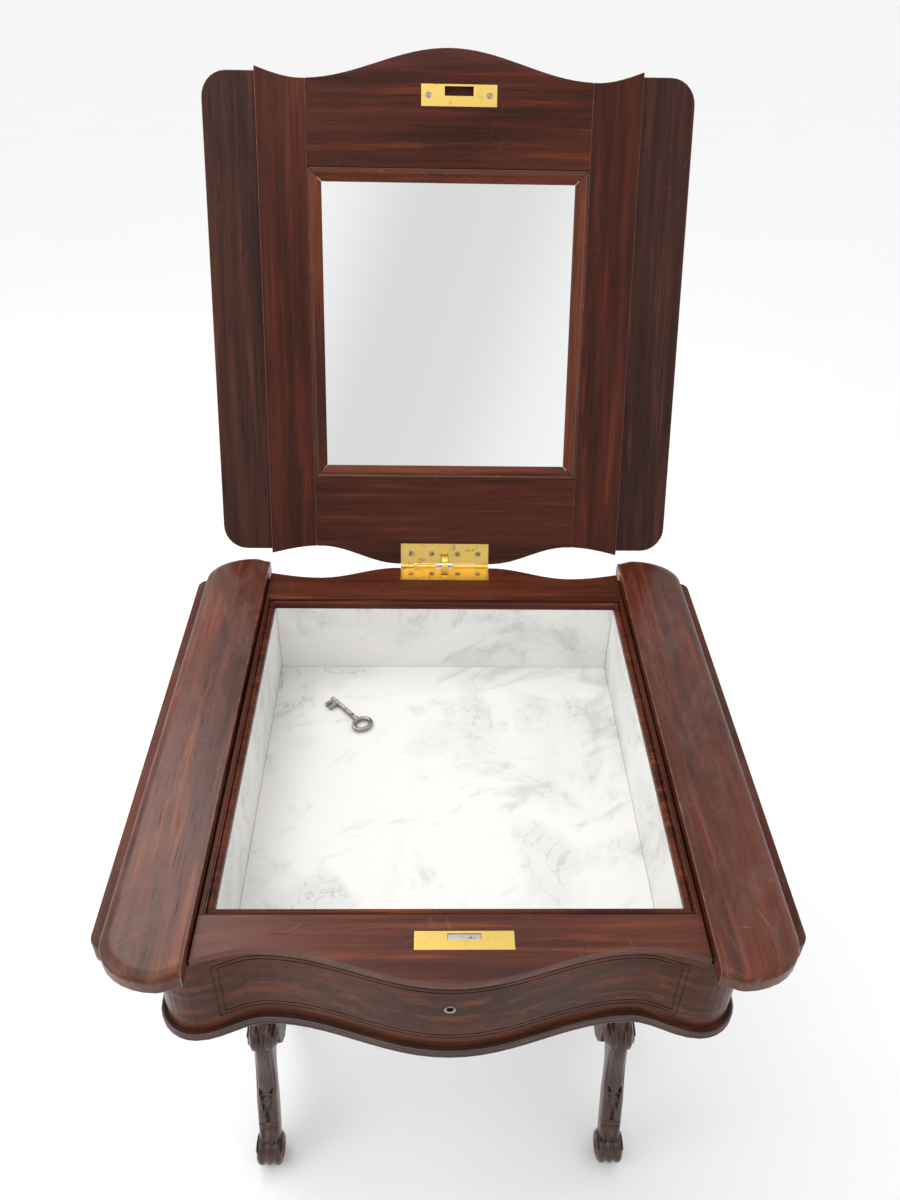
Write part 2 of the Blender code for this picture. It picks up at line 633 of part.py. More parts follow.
def build_frame(bench):
    """Four flat rails, the bead round the well and the two raised side tops."""
    bead_x = WELL_HALF + BEAD_WIDTH
    bead_front = -BEAD_WIDTH
    bead_rear = WELL_DEPTH + BEAD_WIDTH
    outline = front_line(-FRAME_HALF, FRAME_HALF, 40)
    outline += [(FRAME_HALF, bead_front - GAP), (-FRAME_HALF, bead_front - GAP)]
    front = bench.add("top_rail_front", plate(outline, -FRAME_THICK, 0), "mahogany_top")
    plate_room = block((LOCK_LEFT - GAP, LOCK_RIGHT + GAP), (-LOCK_FRONT - GAP, -LOCK_BACK + GAP),
                       (-LOCK_PLATE_THICK - GAP, THROUGH))
    bench.cut(front, plate_room)
    left = LOCK_LEFT + LOCK_CASE_MARGIN_X - GAP
    right = LOCK_RIGHT - LOCK_CASE_MARGIN_X + GAP
    bench.cut(front, block((left, right), (-LOCK_FRONT, -LOCK_BACK), (-FRAME_THICK - THROUGH, THROUGH)))

    outline = [(-FRAME_HALF, bead_rear + GAP), (FRAME_HALF, bead_rear + GAP)]
    outline += rear_line(FRAME_HALF, -FRAME_HALF, 40)
    rear = bench.add("top_rail_rear", plate(outline, -FRAME_THICK, 0), "mahogany_top")
    leaf_room = block((-HINGE_WIDTH / 2 - GAP, HINGE_WIDTH / 2 + GAP),
                      (HINGE_Y - HINGE_LEAF - GAP, HINGE_Y + THROUGH), (-LEAF_THICK - GAP, THROUGH))
    bench.cut(rear, leaf_room)
    cut_hinge_room(bench, rear)
    for name, side in SIDES.items():
        x_span = sorted((side * (bead_x + GAP), side * FRAME_HALF))
        bench.add("top_rail_" + name, block(x_span, (bead_front, bead_rear), (-FRAME_THICK, 0)),
                  "mahogany_top")
    build_beads(bench)

    for name, side in SIDES.items():
        rings = []
        for share in spread(0, 1, 2):
            z = -FRAME_THICK + (SIDE_TOP_RISE - THUMB_DROP + FRAME_THICK) * share
            rings.append([(x, y, z) for x, y in side_top_outline(side, 0.0)])
        for turn in spread(0, math.pi / 2, 5)[1:]:
            z = SIDE_TOP_RISE - THUMB_DROP * (1 - math.sin(turn))
            outline = side_top_outline(side, THUMB_WIDTH * (1 - math.cos(turn)))
            rings.append([(x, y, z) for x, y in outline])
        bench.add("side_top_" + name, loft(rings), "mahogany_top", True)


def build_beads(bench):
    """The mitred bead round the well, with a flat step outside its round."""
    profile = [(0.0, -FRAME_THICK), (BEAD_WIDTH, -FRAME_THICK), (BEAD_WIDTH, -BEAD_FILLET)]
    profile += [(BEAD_WIDTH - BEAD_FILLET, -BEAD_FILLET)]
    profile += arc((BEAD_ROUND[0], -BEAD_SINK), BEAD_ROUND, 0, 180, 8)
    well = ((-WELL_HALF, WELL_HALF), (0.0, WELL_DEPTH))
    for name, data in mitred(profile, well, 1).items():
        bench.add("well_bead_" + name, data, "mahogany_moulding", True)


def build_well(bench):
    """Marble floor and four marble walls."""
    outer = WELL_HALF + MARBLE_WALL
    y_span = (-MARBLE_WALL, WELL_DEPTH + MARBLE_WALL)
    bed = BASE_TOP - MARBLE_LET_IN + GAP
    slab = block((GAP - WELL_HALF, WELL_HALF - GAP), (GAP, WELL_DEPTH - GAP), (bed, -WELL_FALL))
    bench.add("marble_floor", slab, "marble")
    z_span = (bed, CASE_TOP)
    for name, side in SIDES.items():
        x_span = sorted((side * WELL_HALF, side * outer))
        bench.add("marble_wall_" + name, block(x_span, y_span, z_span), "marble")
    inner = WELL_HALF - GAP
    bench.add("marble_wall_front", block((-inner, inner), (-MARBLE_WALL, 0), z_span), "marble")
    bench.add("marble_wall_rear", block((-inner, inner), (WELL_DEPTH, WELL_DEPTH + MARBLE_WALL), z_span),
              "marble")


def build_slide(bench, name, side):
    """One pull-out side slide: a thin board with a deeper lip."""
    low, high = SLIDE_BOTTOM, SLIDE_TOP
    board = plate(slide_outline(side, SIDE_TOP_INNER, SLIDE_OUTER), low, high)
    slide = bench.add("slide_" + name, board, "mahogany_top")
    lip = plate(slide_outline(side, SLIDE_OUTER - SLIDE_LIP, SLIDE_OUTER), low - SLIDE_LIP_DROP, high)
    bench.cut(slide, lip, "UNION")


# ---------------------------------------------------------------- lock and key
def build_lock(bench):
    """Lock plate with its case, the bolt and the ring of the keyhole."""
    plate_data = block((LOCK_LEFT, LOCK_RIGHT), (-LOCK_FRONT, -LOCK_BACK), (-LOCK_PLATE_THICK, 0))
    lock = bench.add("lock_plate", plate_data, "brass")
    case = block((LOCK_LEFT + LOCK_CASE_MARGIN_X, LOCK_RIGHT - LOCK_CASE_MARGIN_X),
                 (-LOCK_FRONT + GAP, -LOCK_BACK - GAP), (-LOCK_CASE_DEPTH, -LOCK_PLATE_THICK / 2))
    bench.cut(lock, case, "UNION")
    room = block((BOLT_LEFT - GAP, BOLT_RIGHT + GAP), (-BOLT_FRONT - GAP, -BOLT_BACK + GAP),
                 (-BOLT_SINK - BOLT_LENGTH - GAP, THROUGH))
    bench.cut(lock, room)
    bolt = block((BOLT_LEFT, BOLT_RIGHT), (-BOLT_FRONT, -BOLT_BACK), (-BOLT_SINK - BOLT_LENGTH, -BOLT_SINK))
    bench.add("lock_bolt", bolt, "steel")

    face = -front_reach(KEYHOLE_X) + CASE_SETBACK
    centre = (KEYHOLE_X, face, -KEYHOLE_DROP)
    rim = [(KEYHOLE_RING, -GAP), (KEYHOLE_RING, KEYHOLE_RING_DEEP - GAP)]
    ring = bench.add("keyhole_ring", turned(rim, centre, "Y"), "steel", True)
    through = [(KEYHOLE_RADIUS, -THROUGH), (KEYHOLE_RADIUS, KEYHOLE_RING_DEEP + THROUGH)]
    bench.cut(ring, turned(through, centre, "Y"))


def key_bow():
    """The key's bow: an oval ring of round wire."""
    wire = KEY_WIRE * KEY_BOW_WIRE
    sides, around = 8, 20
    bow = bmesh.new()
    rows = []
    for turn in spread(0, 2 * math.pi, around)[:-1]:
        out = Vector((math.cos(turn), math.sin(turn), 0))
        middle = Vector((KEY_BOW_RADIUS * KEY_BOW_SQUASH * out.x, KEY_BOW_RADIUS * out.y, 0))
        leans = spread(0, 2 * math.pi, sides)[:-1]
        rows.append([bow.verts.new(middle + out * wire * math.cos(lean)
                                   + Vector((0, 0, wire * math.sin(lean)))) for lean in leans])
    for index, row in enumerate(rows):
        after = rows[(index + 1) % around]
        for part in range(sides):
            corner = (part + 1) % sides
            bow.faces.new((row[part], row[corner], after[corner], after[part]))
    return bow


def build_key(bench):
    """A forged key lying on the marble: bow, collars, shank and bit."""
    centre = Vector((KEY_FROM_LEFT - WELL_HALF, WELL_DEPTH - KEY_FROM_REAR, GAP + KEY_WIRE - WELL_FALL))
    placed = Matrix.Translation(centre) @ Matrix.Rotation(KEY_TURN, 4, "Z")

    def laid(data):
        bmesh.ops.transform(data, matrix=placed, verts=data.verts)
        return data

    key = bench.add("key", laid(key_bow()), "steel", True)
    start = KEY_BOW_RADIUS * KEY_BOW_SQUASH
    end = KEY_LENGTH - KEY_BOW_RADIUS
    profile = [(KEY_SHANK * share, start + along) for share, along in KEY_COLLARS]
    profile.append((KEY_SHANK * KEY_COLLARS[-1][0], end))
    bench.cut(key, laid(turned(profile, (0, 0, 0), "X", 14)), "UNION")
    tip = end - KEY_WARD
    thick = (-KEY_BIT_THICK / 2, KEY_BIT_THICK / 2)
    bit = block((tip - KEY_BIT_LENGTH, tip), (KEY_SHANK / 2, KEY_BIT_REACH), thick)
    bench.cut(key, laid(bit), "UNION")
    middle = tip - KEY_BIT_LENGTH / 2
    ward = block((middle - KEY_WARD / 2, middle + KEY_WARD / 2), (KEY_BIT_REACH / 2, KEY_BIT_REACH + THROUGH),
                 (-THROUGH, THROUGH))
    bench.cut(key, laid(ward))


# ---------------------------------------------------------------- hinge
def knuckle(left, right):
    """A plain cylinder on the hinge's axis."""
    return turned([(BARREL_RADIUS, left), (BARREL_RADIUS, right)], HINGE, "X")


def leaf_screw(x, y, z, up):
    """A countersunk slotted screw whose head lies at z, its shank going down, or up."""
    turn = -1 if up < 0 else 1
    profile = [(SCREW_HEAD, 0), (SCREW_SHANK, turn * SCREW_HEAD_DEEP),
               (SCREW_SHANK, turn * SCREW_LENGTH)]
    return turned(profile, (x, y, z), "Z", 18)


def screw_room(x, y, z, up):
    """The hole that a screw sits in."""
    turn = -1 if up < 0 else 1
    wide = SCREW_HEAD + GAP
    narrow = SCREW_SHANK + GAP
    profile = [(wide, -turn * THROUGH), (wide, turn * GAP), (narrow, turn * (SCREW_HEAD_DEEP + GAP)),
               (narrow, turn * (SCREW_LENGTH + GAP))]
    return turned(profile, (x, y, z), "Z", 18)


def add_screws(bench, prefix, places, z, up, targets):
    """Put slotted screws at each place, and their holes in the targets."""
    for number, (x, y) in enumerate(places, 1):
        screw = bench.add(f"{prefix}_{number}", leaf_screw(x, y, z, up), "steel", True)
        slot_z = sorted((z - up * THROUGH, z + up * SCREW_SLOT))
        angle = math.radians(25 + 55 * number)
        slot = block((-THROUGH, THROUGH), (-SCREW_SLOT / 2, SCREW_SLOT / 2), slot_z)
        place = Matrix.Translation((x, y, 0)) @ Matrix.Rotation(angle, 4, "Z")
        bmesh.ops.transform(slot, matrix=place, verts=slot.verts)
        bench.cut(screw, slot)
    for target in targets:
        rooms = merge([screw_room(x, y, z, up) for x, y in places])
        bench.cut(target, rooms, "DIFFERENCE", "MANIFOLD")


def cut_hinge_room(bench, piece, up=-1):
    """The mortice that a stop finger swings into."""
    half = FINGER_WIDTH / 2 + MORTICE_PLAY
    far = FINGER_RADIUS + FINGER_STEP + FINGER_THICK + MORTICE_PLAY
    y_span = (HINGE_Y - far, HINGE_Y - MORTICE_NEAR)
    z_span = sorted((up * far * math.sin(LID_OPEN / 2 + FINGER_LAP), -up * LEAF_THICK))
    bench.cut(piece, block((-half, half), y_span, z_span))


def build_hinge(bench, lid_bench, rear_rail, rear_apron, lid_rail, lid_top):
    """Case leaf, lid leaf, pin, stop fingers and eight screws."""
    open_half = LID_OPEN / 2 + FINGER_LAP / 2
    leaf_z = {"case": (-LEAF_THICK, 0.0), "lid": (LID_UNDERSIDE, LID_UNDERSIDE + LEAF_THICK)}
    knuckles = {
        "case": [(side * INNER_KNUCKLE_NEAR, side * INNER_KNUCKLE_FAR) for side in (-1, 1)],
        "lid": [(side * (HINGE_WIDTH / 2 - END_KNUCKLE), side * HINGE_WIDTH / 2) for side in (-1, 1)],
    }
    benches = {"case": bench, "lid": lid_bench}
    leaves = {}
    for name, home in benches.items():
        z_span = leaf_z[name]
        clear = HINGE_Y - BARREL_RADIUS - GAP - LEAF_KNUCKLE_PLAY
        data = block((-HINGE_WIDTH / 2, HINGE_WIDTH / 2), (HINGE_Y - HINGE_LEAF, clear), z_span)
        leaf = home.add("hinge_leaf_" + name, data, "brass", True)
        tongues = []
        tubes = []
        for ends in knuckles[name]:
            low, high = sorted(ends)
            tongues.append(block((low, high), (clear - LEAF_THICK / 2, HINGE_Y - PIN_RADIUS), z_span))
            tubes.append(knuckle(low, high))
        home.cut(leaf, merge(tongues), "UNION", "MANIFOLD")
        home.cut(leaf, merge(tubes), "UNION", "MANIFOLD")
        is_lid = name == "lid"
        inner = FINGER_RADIUS + (FINGER_STEP if is_lid else 0)
        turn = 1 if is_lid else -1
        start, end = math.pi - turn * FINGER_ROOT, math.pi + turn * open_half
        sector = ring_sector(HINGE_Y, HINGE_Z, (inner, inner + FINGER_THICK), start, end)
        finger = side_plate(sector, -FINGER_WIDTH / 2, FINGER_WIDTH / 2)
        home.cut(leaf, finger, "UNION", "MANIFOLD")
        other = FINGER_RADIUS + (0 if is_lid else FINGER_STEP)
        slot_half = FINGER_WIDTH / 2 + FINGER_SIDE_PLAY
        slot_y = (HINGE_Y - other - FINGER_THICK - FINGER_PLAY, HINGE_Y - other + FINGER_PLAY)
        slot_z = (z_span[0] - LEAF_THICK / 2, z_span[1] + LEAF_THICK / 2)
        home.cut(leaf, block((-slot_half, slot_half), slot_y, slot_z), "DIFFERENCE", "MANIFOLD")
        bore = [(PIN_RADIUS + PIN_PLAY, side * HINGE_WIDTH) for side in (-1, 1)]
        home.cut(leaf, turned(bore, HINGE, "X"), "DIFFERENCE", "MANIFOLD")
        leaves[name] = leaf
    half = HINGE_WIDTH / 2
    bench.add("hinge_pin", turned([(PIN_RADIUS, -half), (PIN_RADIUS, half)], HINGE, "X", 16), "steel", True)
    middle = HINGE_Y - BARREL_RADIUS - (HINGE_LEAF - BARREL_RADIUS) / 2
    places = [(x, middle) for x in HINGE_SCREWS_X]
    add_screws(bench, "case_hinge_screw", places, 0.0, -1, [leaves["case"], rear_rail, rear_apron])
    add_screws(lid_bench, "lid_hinge_screw", places, LID_UNDERSIDE, 1, [leaves["lid"], lid_rail])
    cut_hinge_room(lid_bench, lid_rail, 1)
    cut_hinge_room(lid_bench, lid_top, 1)


# ---------------------------------------------------------------- lid
def lid_top_rings():
    """The lid's top board, its upper edge rounded."""
    front, rear = lid_half_front(), lid_half_rear()
    outline = mirrored(front[1:]) + front + rear + mirrored(rear[:-1])
    rings = [[(x, y, LID_TOP_UNDERSIDE) for x, y in outline]]
    for turn in spread(0, math.pi / 2, 3):
        z = LID_TOP - LID_EDGE_ROUND * (1 - math.sin(turn))
        shrink = LID_EDGE_ROUND * (1 - math.cos(turn))
        rings.append([(x, y, z) for x, y in grow(outline, -shrink)])
    return rings


def finger_bevel():
    """The shallow hollow under the lid's front edge, a wedge that fades at both ends."""
    rings = []
    for x in spread(-FINGER_BEVEL_HALF, FINGER_BEVEL_HALF, 24):
        share = 1 - ease(abs(x) / FINGER_BEVEL_HALF)
        edge = -front_reach(x)
        start = edge + FINGER_BEVEL * share + GAP
        rise = FINGER_BEVEL_DEEP * share
        slope = rise / (start - edge)
        out = edge - THROUGH
        below = LID_UNDERSIDE - THROUGH
        top = LID_UNDERSIDE + slope * (start - out)
        rings.append([(x, start, LID_UNDERSIDE), (x, start, below), (x, out, below), (x, out, top)])
    return loft(rings)


def build_lid(bench):
    """Top board, the framed panel under it, the mirror and its mouldings."""
    z_span = (LID_UNDERSIDE, LID_FRAME_TOP)
    top = bench.add("lid_top", loft(lid_top_rings()), "mahogany_lid", True)

    inner = MIRROR_HALF
    outline = front_line(-inner + GAP, inner - GAP, 32)
    outline += [(inner - GAP, MIRROR_FRONT - GAP), (-inner + GAP, MIRROR_FRONT - GAP)]
    front = bench.add("lid_rail_front", plate(outline, *z_span), "mahogany_lid", True)
    bench.cut(front, finger_bevel())
    outline = [(-inner + GAP, MIRROR_REAR + GAP), (inner - GAP, MIRROR_REAR + GAP)]
    outline += rear_line(inner - GAP, -inner + GAP, 32)
    rear = bench.add("lid_rail_rear", plate(outline, *z_span), "mahogany_lid", True)
    leaf_room = block((-HINGE_WIDTH / 2 - GAP, HINGE_WIDTH / 2 + GAP),
                      (HINGE_Y - HINGE_LEAF - GAP, HINGE_Y + THROUGH),
                      (LID_UNDERSIDE - THROUGH, LID_UNDERSIDE + LEAF_THICK + GAP))
    bench.cut(rear, leaf_room)
    for name, side in SIDES.items():
        outline = front_line(inner, FRAME_HALF, 7) + rear_line(FRAME_HALF, inner, 7)
        outline = outline if side > 0 else mirrored(outline)
        bench.add("lid_stile_" + name, plate(outline, *z_span), "mahogany_lid", True)

    build_mirror(bench)
    build_striker(bench, front)
    return rear, top


def build_mirror(bench):
    """Silvered glass held by four mitred mouldings."""
    moulding = MIRROR_MOULDING
    glass_top = LID_FRAME_TOP
    glass_low = glass_top - GLASS_THICK
    reach = moulding - MIRROR_REBATE
    half = MIRROR_HALF - reach
    glass = block((-half, half), (MIRROR_FRONT + reach, MIRROR_REAR - reach), (glass_low, glass_top))
    bench.add("mirror_glass", glass, "mirror")
    low = LID_UNDERSIDE
    profile = [(inset, low + rise) for inset, rise in MOULDING_STEPS]
    profile += [(moulding - MOULDING_TIP, glass_low - 2 * MOULDING_TIP)]
    profile += [(moulding, glass_low - MOULDING_TIP), (moulding, glass_low - GAP)]
    profile += [(reach - GAP, glass_low - GAP), (reach - GAP, glass_top), (GAP, glass_top)]
    opening = ((-MIRROR_HALF, MIRROR_HALF), (MIRROR_FRONT, MIRROR_REAR))
    for name, data in mitred(profile, opening, -1).items():
        bench.add("mirror_moulding_" + name, data, "mahogany_moulding")


def build_striker(bench, rail):
    """Striker plate let into the lid's front rail, over the lock."""
    z_span = (LID_UNDERSIDE, LID_UNDERSIDE + LOCK_PLATE_THICK)
    y_span = (-STRIKER_FRONT, -STRIKER_BACK)
    striker = bench.add("striker_plate", block((LOCK_LEFT, LOCK_RIGHT), y_span, z_span), "brass")
    room = block((LOCK_LEFT - GAP, LOCK_RIGHT + GAP), (-STRIKER_FRONT - GAP, -STRIKER_BACK + GAP),
                 (-THROUGH, z_span[1] + GAP))
    bench.cut(rail, room)
    margin = STRIKER_SLOT_MARGIN
    slot_x = (BOLT_LEFT - margin, BOLT_RIGHT + margin)
    slot_y = (-BOLT_FRONT - margin, -BOLT_BACK + margin)
    for piece in (striker, rail):
        bench.cut(piece, block(slot_x, slot_y, (-THROUGH, LID_UNDERSIDE + STRIKER_SLOT_DEEP)))
    middle = -(STRIKER_FRONT + STRIKER_BACK) / 2
    places = [(x, middle) for x in (LOCK_LEFT + STRIKER_SCREW_INSET, LOCK_RIGHT - STRIKER_SCREW_INSET)]
    add_screws(bench, "striker_screw", places, LID_UNDERSIDE, 1, [striker, rail])


# ---------------------------------------------------------------- end frames
def floor(height):
    """A height above the floor in the working frame."""
    return height - FRAME_HEIGHT


STANDARD_SHAPE = ((STANDARD_FOOT, 0.016), (0.126, 0.030), (LEG_JOINT_LOW - 0.004, STANDARD_JOINT_HALF),
                  (LEG_JOINT_HIGH + 0.004, STANDARD_JOINT_HALF), (0.276, 0.026), (0.365, 0.033),
                  (0.440, 0.022), (0.500, 0.046), (0.524, 0.060))


def standard_outline():
    """The shaped upright in (y, z), its halves alike."""
    top = FRAME_HEIGHT - CASE_HEIGHT - BEARER_HEIGHT - 2 * GAP
    stretch = (top - LEG_JOINT_HIGH) / (STANDARD_SHAPE[-1][0] - LEG_JOINT_HIGH)
    points = []
    for (low, wide), (high, after) in zip(STANDARD_SHAPE, STANDARD_SHAPE[1:]):
        steps = 1 if wide == after else 5
        for share in spread(0, 1, steps)[:-1]:
            points.append((low + (high - low) * share, wide + (after - wide) * ease(share)))
    points.append(STANDARD_SHAPE[-1])
    shaped = []
    for height, wide in points:
        if height > LEG_JOINT_HIGH:
            height = LEG_JOINT_HIGH + (height - LEG_JOINT_HIGH) * stretch
        shaped.append((wide, floor(height)))
    right = [(MIDDLE_Y + wide, z) for wide, z in shaped]
    left = [(MIDDLE_Y - wide, z) for wide, z in reversed(shaped)]
    return right + left


def leg_outline(direction):
    """A downswept leg in (y, z): a tapering limb along a curve, without its scrolls."""
    start = Vector((STANDARD_JOINT_HALF + GAP, (LEG_JOINT_LOW + LEG_JOINT_HIGH) / 2))
    knee = Vector((KNEE_REACH + 0.012, start.y + 0.004))
    shin = Vector((KNEE_REACH + 0.016, 0.092))
    toe = Vector((TOE_REACH - 0.004, TOE_HEIGHT + 0.010))
    half_joint = (LEG_JOINT_HIGH - LEG_JOINT_LOW) / 2
    above, below = [], []
    for share in spread(0, 1, 16):
        rest = 1 - share
        point = rest ** 3 * start + 3 * rest * rest * share * knee + 3 * rest * share * share * shin
        point += share ** 3 * toe
        along = 3 * rest * rest * (knee - start) + 6 * rest * share * (shin - knee)
        along += 3 * share * share * (toe - shin)
        if share == 0:
            along = Vector((1, 0))
        along.normalize()
        normal = Vector((-along.y, along.x))
        half = 0.0145 + (half_joint - 0.0145) * (1 - ease(min(1, share / 0.55)))
        above.append(point + normal * half)
        below.append(point - normal * half)
    outline = above + below[::-1]
    return [(MIDDLE_Y + direction * p.x, floor(p.y)) for p in outline]


def disc(reach, height, radius, direction):
    """A scroll's round side disc, flat where it meets the floor."""
    points = arc((MIDDLE_Y + direction * reach, floor(height)), (radius, radius), 0, 360, 24)[:-1]
    return [(y, max(z, floor(0.0))) for y, z in points]


def build_ends(bench):
    """Bearers, standards, scroll legs and the stretcher between the ends."""
    for name, side in SIDES.items():
        middle = side * LEG_X
        top = -CASE_HEIGHT - GAP
        low = top - BEARER_HEIGHT
        y_low, y_high = MIDDLE_Y - BEARER_HALF, MIDDLE_Y + BEARER_HALF
        hollow = BEARER_HEIGHT * 0.8
        rear_end = arc((y_high, low), (hollow, hollow), 180, 90, 6)
        front_end = arc((y_low, low), (hollow, hollow), 90, 0, 6)
        outline = front_end + rear_end + [(y_high, top), (y_low, top)]
        bearer = side_plate(outline, middle - BEARER_WIDTH / 2, middle + BEARER_WIDTH / 2)
        bench.add("bearer_" + name, bearer, "mahogany_legs")
        half = STANDARD_THICK / 2
        bench.add("end_standard_" + name, side_plate(standard_outline(), middle - half, middle + half),
                  "mahogany_legs", True)
        for place, direction in (("front", -1), ("rear", 1)):
            half = LEG_THICK / 2
            data = side_plate(leg_outline(direction), middle - half, middle + half)
            leg = bench.add(f"scroll_leg_{place}_{name}", data, "mahogany_legs", True)
            half = SCROLL_THICK / 2
            for scroll in ((KNEE_REACH, KNEE_HEIGHT, KNEE_RADIUS), (TOE_REACH, TOE_HEIGHT, TOE_RADIUS)):
                boss = side_plate(disc(*scroll, direction), middle - half, middle + half)
                bench.cut(leg, boss, "UNION", "MANIFOLD")

    half = LEG_X - STANDARD_THICK / 2 - GAP
    radius = STRETCHER_RADIUS
    profile = [(radius * 0.85, -half)]
    for share in spread(0, 1, 20)[1:-1]:
        swell = 0.62 + 0.38 * math.sin(math.pi * share) ** 0.7
        ring = 0.35 if abs(share - 0.5) < 0.03 else 0.0
        profile.append((radius * (swell + ring), -half + 2 * half * share))
    profile.append((radius * 0.85, half))
    centre = (0, MIDDLE_Y, floor(STRETCHER_HEIGHT))
    bench.add("stretcher", turned(profile, centre, "X", 18), "mahogany_legs", True)


# ---------------------------------------------------------------- the whole table
def solids():
    """Every piece that is part of the table."""
    return [piece for piece in bpy.data.objects if piece.type == "MESH" and not piece.hide_render]


def centre_on_floor(table):
    """Put the middle of the whole open table, front to back, over the origin."""
    bpy.context.view_layer.update()
    graph = bpy.context.evaluated_depsgraph_get()
    reaches = []
    for piece in solids():
        shape = piece.evaluated_get(graph)
        reaches += [(shape.matrix_world @ Vector(corner)).y for corner in shape.bound_box]
    table.location.y -= (min(reaches) + max(reaches)) / 2
    bpy.context.view_layer.update()


def main():
    """Clear the scene and build the table with its lid open."""
    for old in list(bpy.data.objects):
        bpy.data.objects.remove(old, do_unlink=True)
    table = add_empty("table_pivot", None, (0, 0, FRAME_HEIGHT))
    lid_pivot = add_empty("lid_pivot", table, HINGE, -LID_OPEN)
    bench = Bench(table)
    lid_bench = Bench(lid_pivot, HINGE)
    build_case(bench)
    build_frame(bench)
    build_well(bench)
    for name, side in SIDES.items():
        build_slide(bench, name, side)
    build_lock(bench)
    build_key(bench)
    lid_rail, lid_top = build_lid(lid_bench)
    rear_rail = bpy.data.objects["top_rail_rear"]
    rear_apron = bpy.data.objects["rear_apron"]
    build_hinge(bench, lid_bench, rear_rail, rear_apron, lid_rail, lid_top)
    build_ends(bench)
    centre_on_floor(table)


main()
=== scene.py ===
"""The looks of a lift-top dressing table: mahogany, marble, brass, steel and a silvered glass.

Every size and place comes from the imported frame. Each sub-assembly is a class that dresses its
pieces, or builds the ones that the frame only blocks out.
"""

import logging
import math
from dataclasses import dataclass
from enum import Enum
from functools import lru_cache

import bmesh
import bpy
from mathutils import Matrix, Vector


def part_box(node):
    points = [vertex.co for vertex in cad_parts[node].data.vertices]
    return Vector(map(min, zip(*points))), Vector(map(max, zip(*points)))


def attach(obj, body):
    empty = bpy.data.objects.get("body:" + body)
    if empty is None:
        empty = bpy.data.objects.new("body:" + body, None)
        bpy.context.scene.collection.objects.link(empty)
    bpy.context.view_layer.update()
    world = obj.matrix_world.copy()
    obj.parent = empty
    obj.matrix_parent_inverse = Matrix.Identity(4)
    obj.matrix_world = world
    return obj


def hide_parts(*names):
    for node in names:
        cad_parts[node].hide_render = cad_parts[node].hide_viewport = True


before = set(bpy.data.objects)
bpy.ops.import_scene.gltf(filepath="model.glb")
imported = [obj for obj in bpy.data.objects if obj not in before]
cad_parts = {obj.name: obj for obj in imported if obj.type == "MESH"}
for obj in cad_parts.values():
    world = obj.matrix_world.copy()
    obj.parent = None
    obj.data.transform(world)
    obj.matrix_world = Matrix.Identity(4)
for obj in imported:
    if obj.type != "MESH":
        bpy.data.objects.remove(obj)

LOG = logging.getLogger("dressing_table")
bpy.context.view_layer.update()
Colour = tuple[float, float, float]


# ---------------------------------------------------------------- places read from the frame
@lru_cache(maxsize=None)
def corners(node: str) -> tuple[Vector, Vector]:
    """The lowest and highest corners of a node's box."""
    lowest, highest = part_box(node)
    return Vector(lowest), Vector(highest)


def low(node: str) -> Vector:
    """The lowest corner of a node's box."""
    return corners(node)[0].copy()


def high(node: str) -> Vector:
    """The highest corner of a node's box."""
    return corners(node)[1].copy()


def middle(node: str) -> Vector:
    """The middle of a node's box."""
    return (low(node) + high(node)) / 2


@dataclass(frozen=True)
class WellPlace:
    """Where the well is: the point that the whole table is measured from.

    Attributes:
        rim: The height of the flat frame above the floor.
        front: The y of the well's front edge.
        half: Half of the well's width.
    """

    rim: float = high("top_rail_front").z
    front: float = high("marble_wall_front").y
    half: float = low("marble_wall_right").x

    @property
    def width(self) -> float:
        """The well's clear width."""
        return 2 * self.half

    def point(self, across: float, back: float, up: float) -> Vector:
        """A place in the room from distances measured from the well's front edge at the rim."""
        return Vector((across, self.front + back, self.rim + up))


WELL = WellPlace()
LID_OPEN = math.radians(111.4)


class Lie(Enum):
    """Which way a piece of timber's grain runs."""

    ACROSS = "across"
    ALONG = "along"
    UPRIGHT = "upright"


# ---------------------------------------------------------------- shader maths
class Tone:
    """A shader socket that takes part in arithmetic.

    Args:
        graph: The graph that new nodes go into.
        socket: The output socket that it stands for.
    """

    def __init__(self, graph: "Graph", socket: bpy.types.NodeSocket) -> None:
        """Keep the graph and the socket."""
        self.graph = graph
        self.socket = socket

    def _sum(self, operation: str, first: object, second: object) -> "Tone":
        """One Math node."""
        return self.graph.add("ShaderNodeMath", {"operation": operation}, {0: first, 1: second})

    def __add__(self, other: object) -> "Tone":
        """Self + other."""
        return self._sum("ADD", self, other)

    def __radd__(self, other: object) -> "Tone":
        """Other + self."""
        return self._sum("ADD", other, self)

    def __sub__(self, other: object) -> "Tone":
        """Self - other."""
        return self._sum("SUBTRACT", self, other)

    def __rsub__(self, other: object) -> "Tone":
        """Other - self."""
        return self._sum("SUBTRACT", other, self)

    def __mul__(self, other: object) -> "Tone":
        """Self * other."""
        return self._sum("MULTIPLY", self, other)

    def __rmul__(self, other: object) -> "Tone":
        """Other * self."""
        return self._sum("MULTIPLY", other, self)

    def __truediv__(self, other: object) -> "Tone":
        """Self / other."""
        return self._sum("DIVIDE", self, other)

    def __pow__(self, other: object) -> "Tone":
        """Self to a power."""
        return self._sum("POWER", self, other)

    def ramp(self, start: float, end: float) -> "Tone":
        """A smooth rise from 0 at start to 1 at end."""
        settings = {"interpolation_type": "SMOOTHSTEP"}
        return self.graph.add("ShaderNodeMapRange", settings, {"Value": self, 1: start, 2: end})


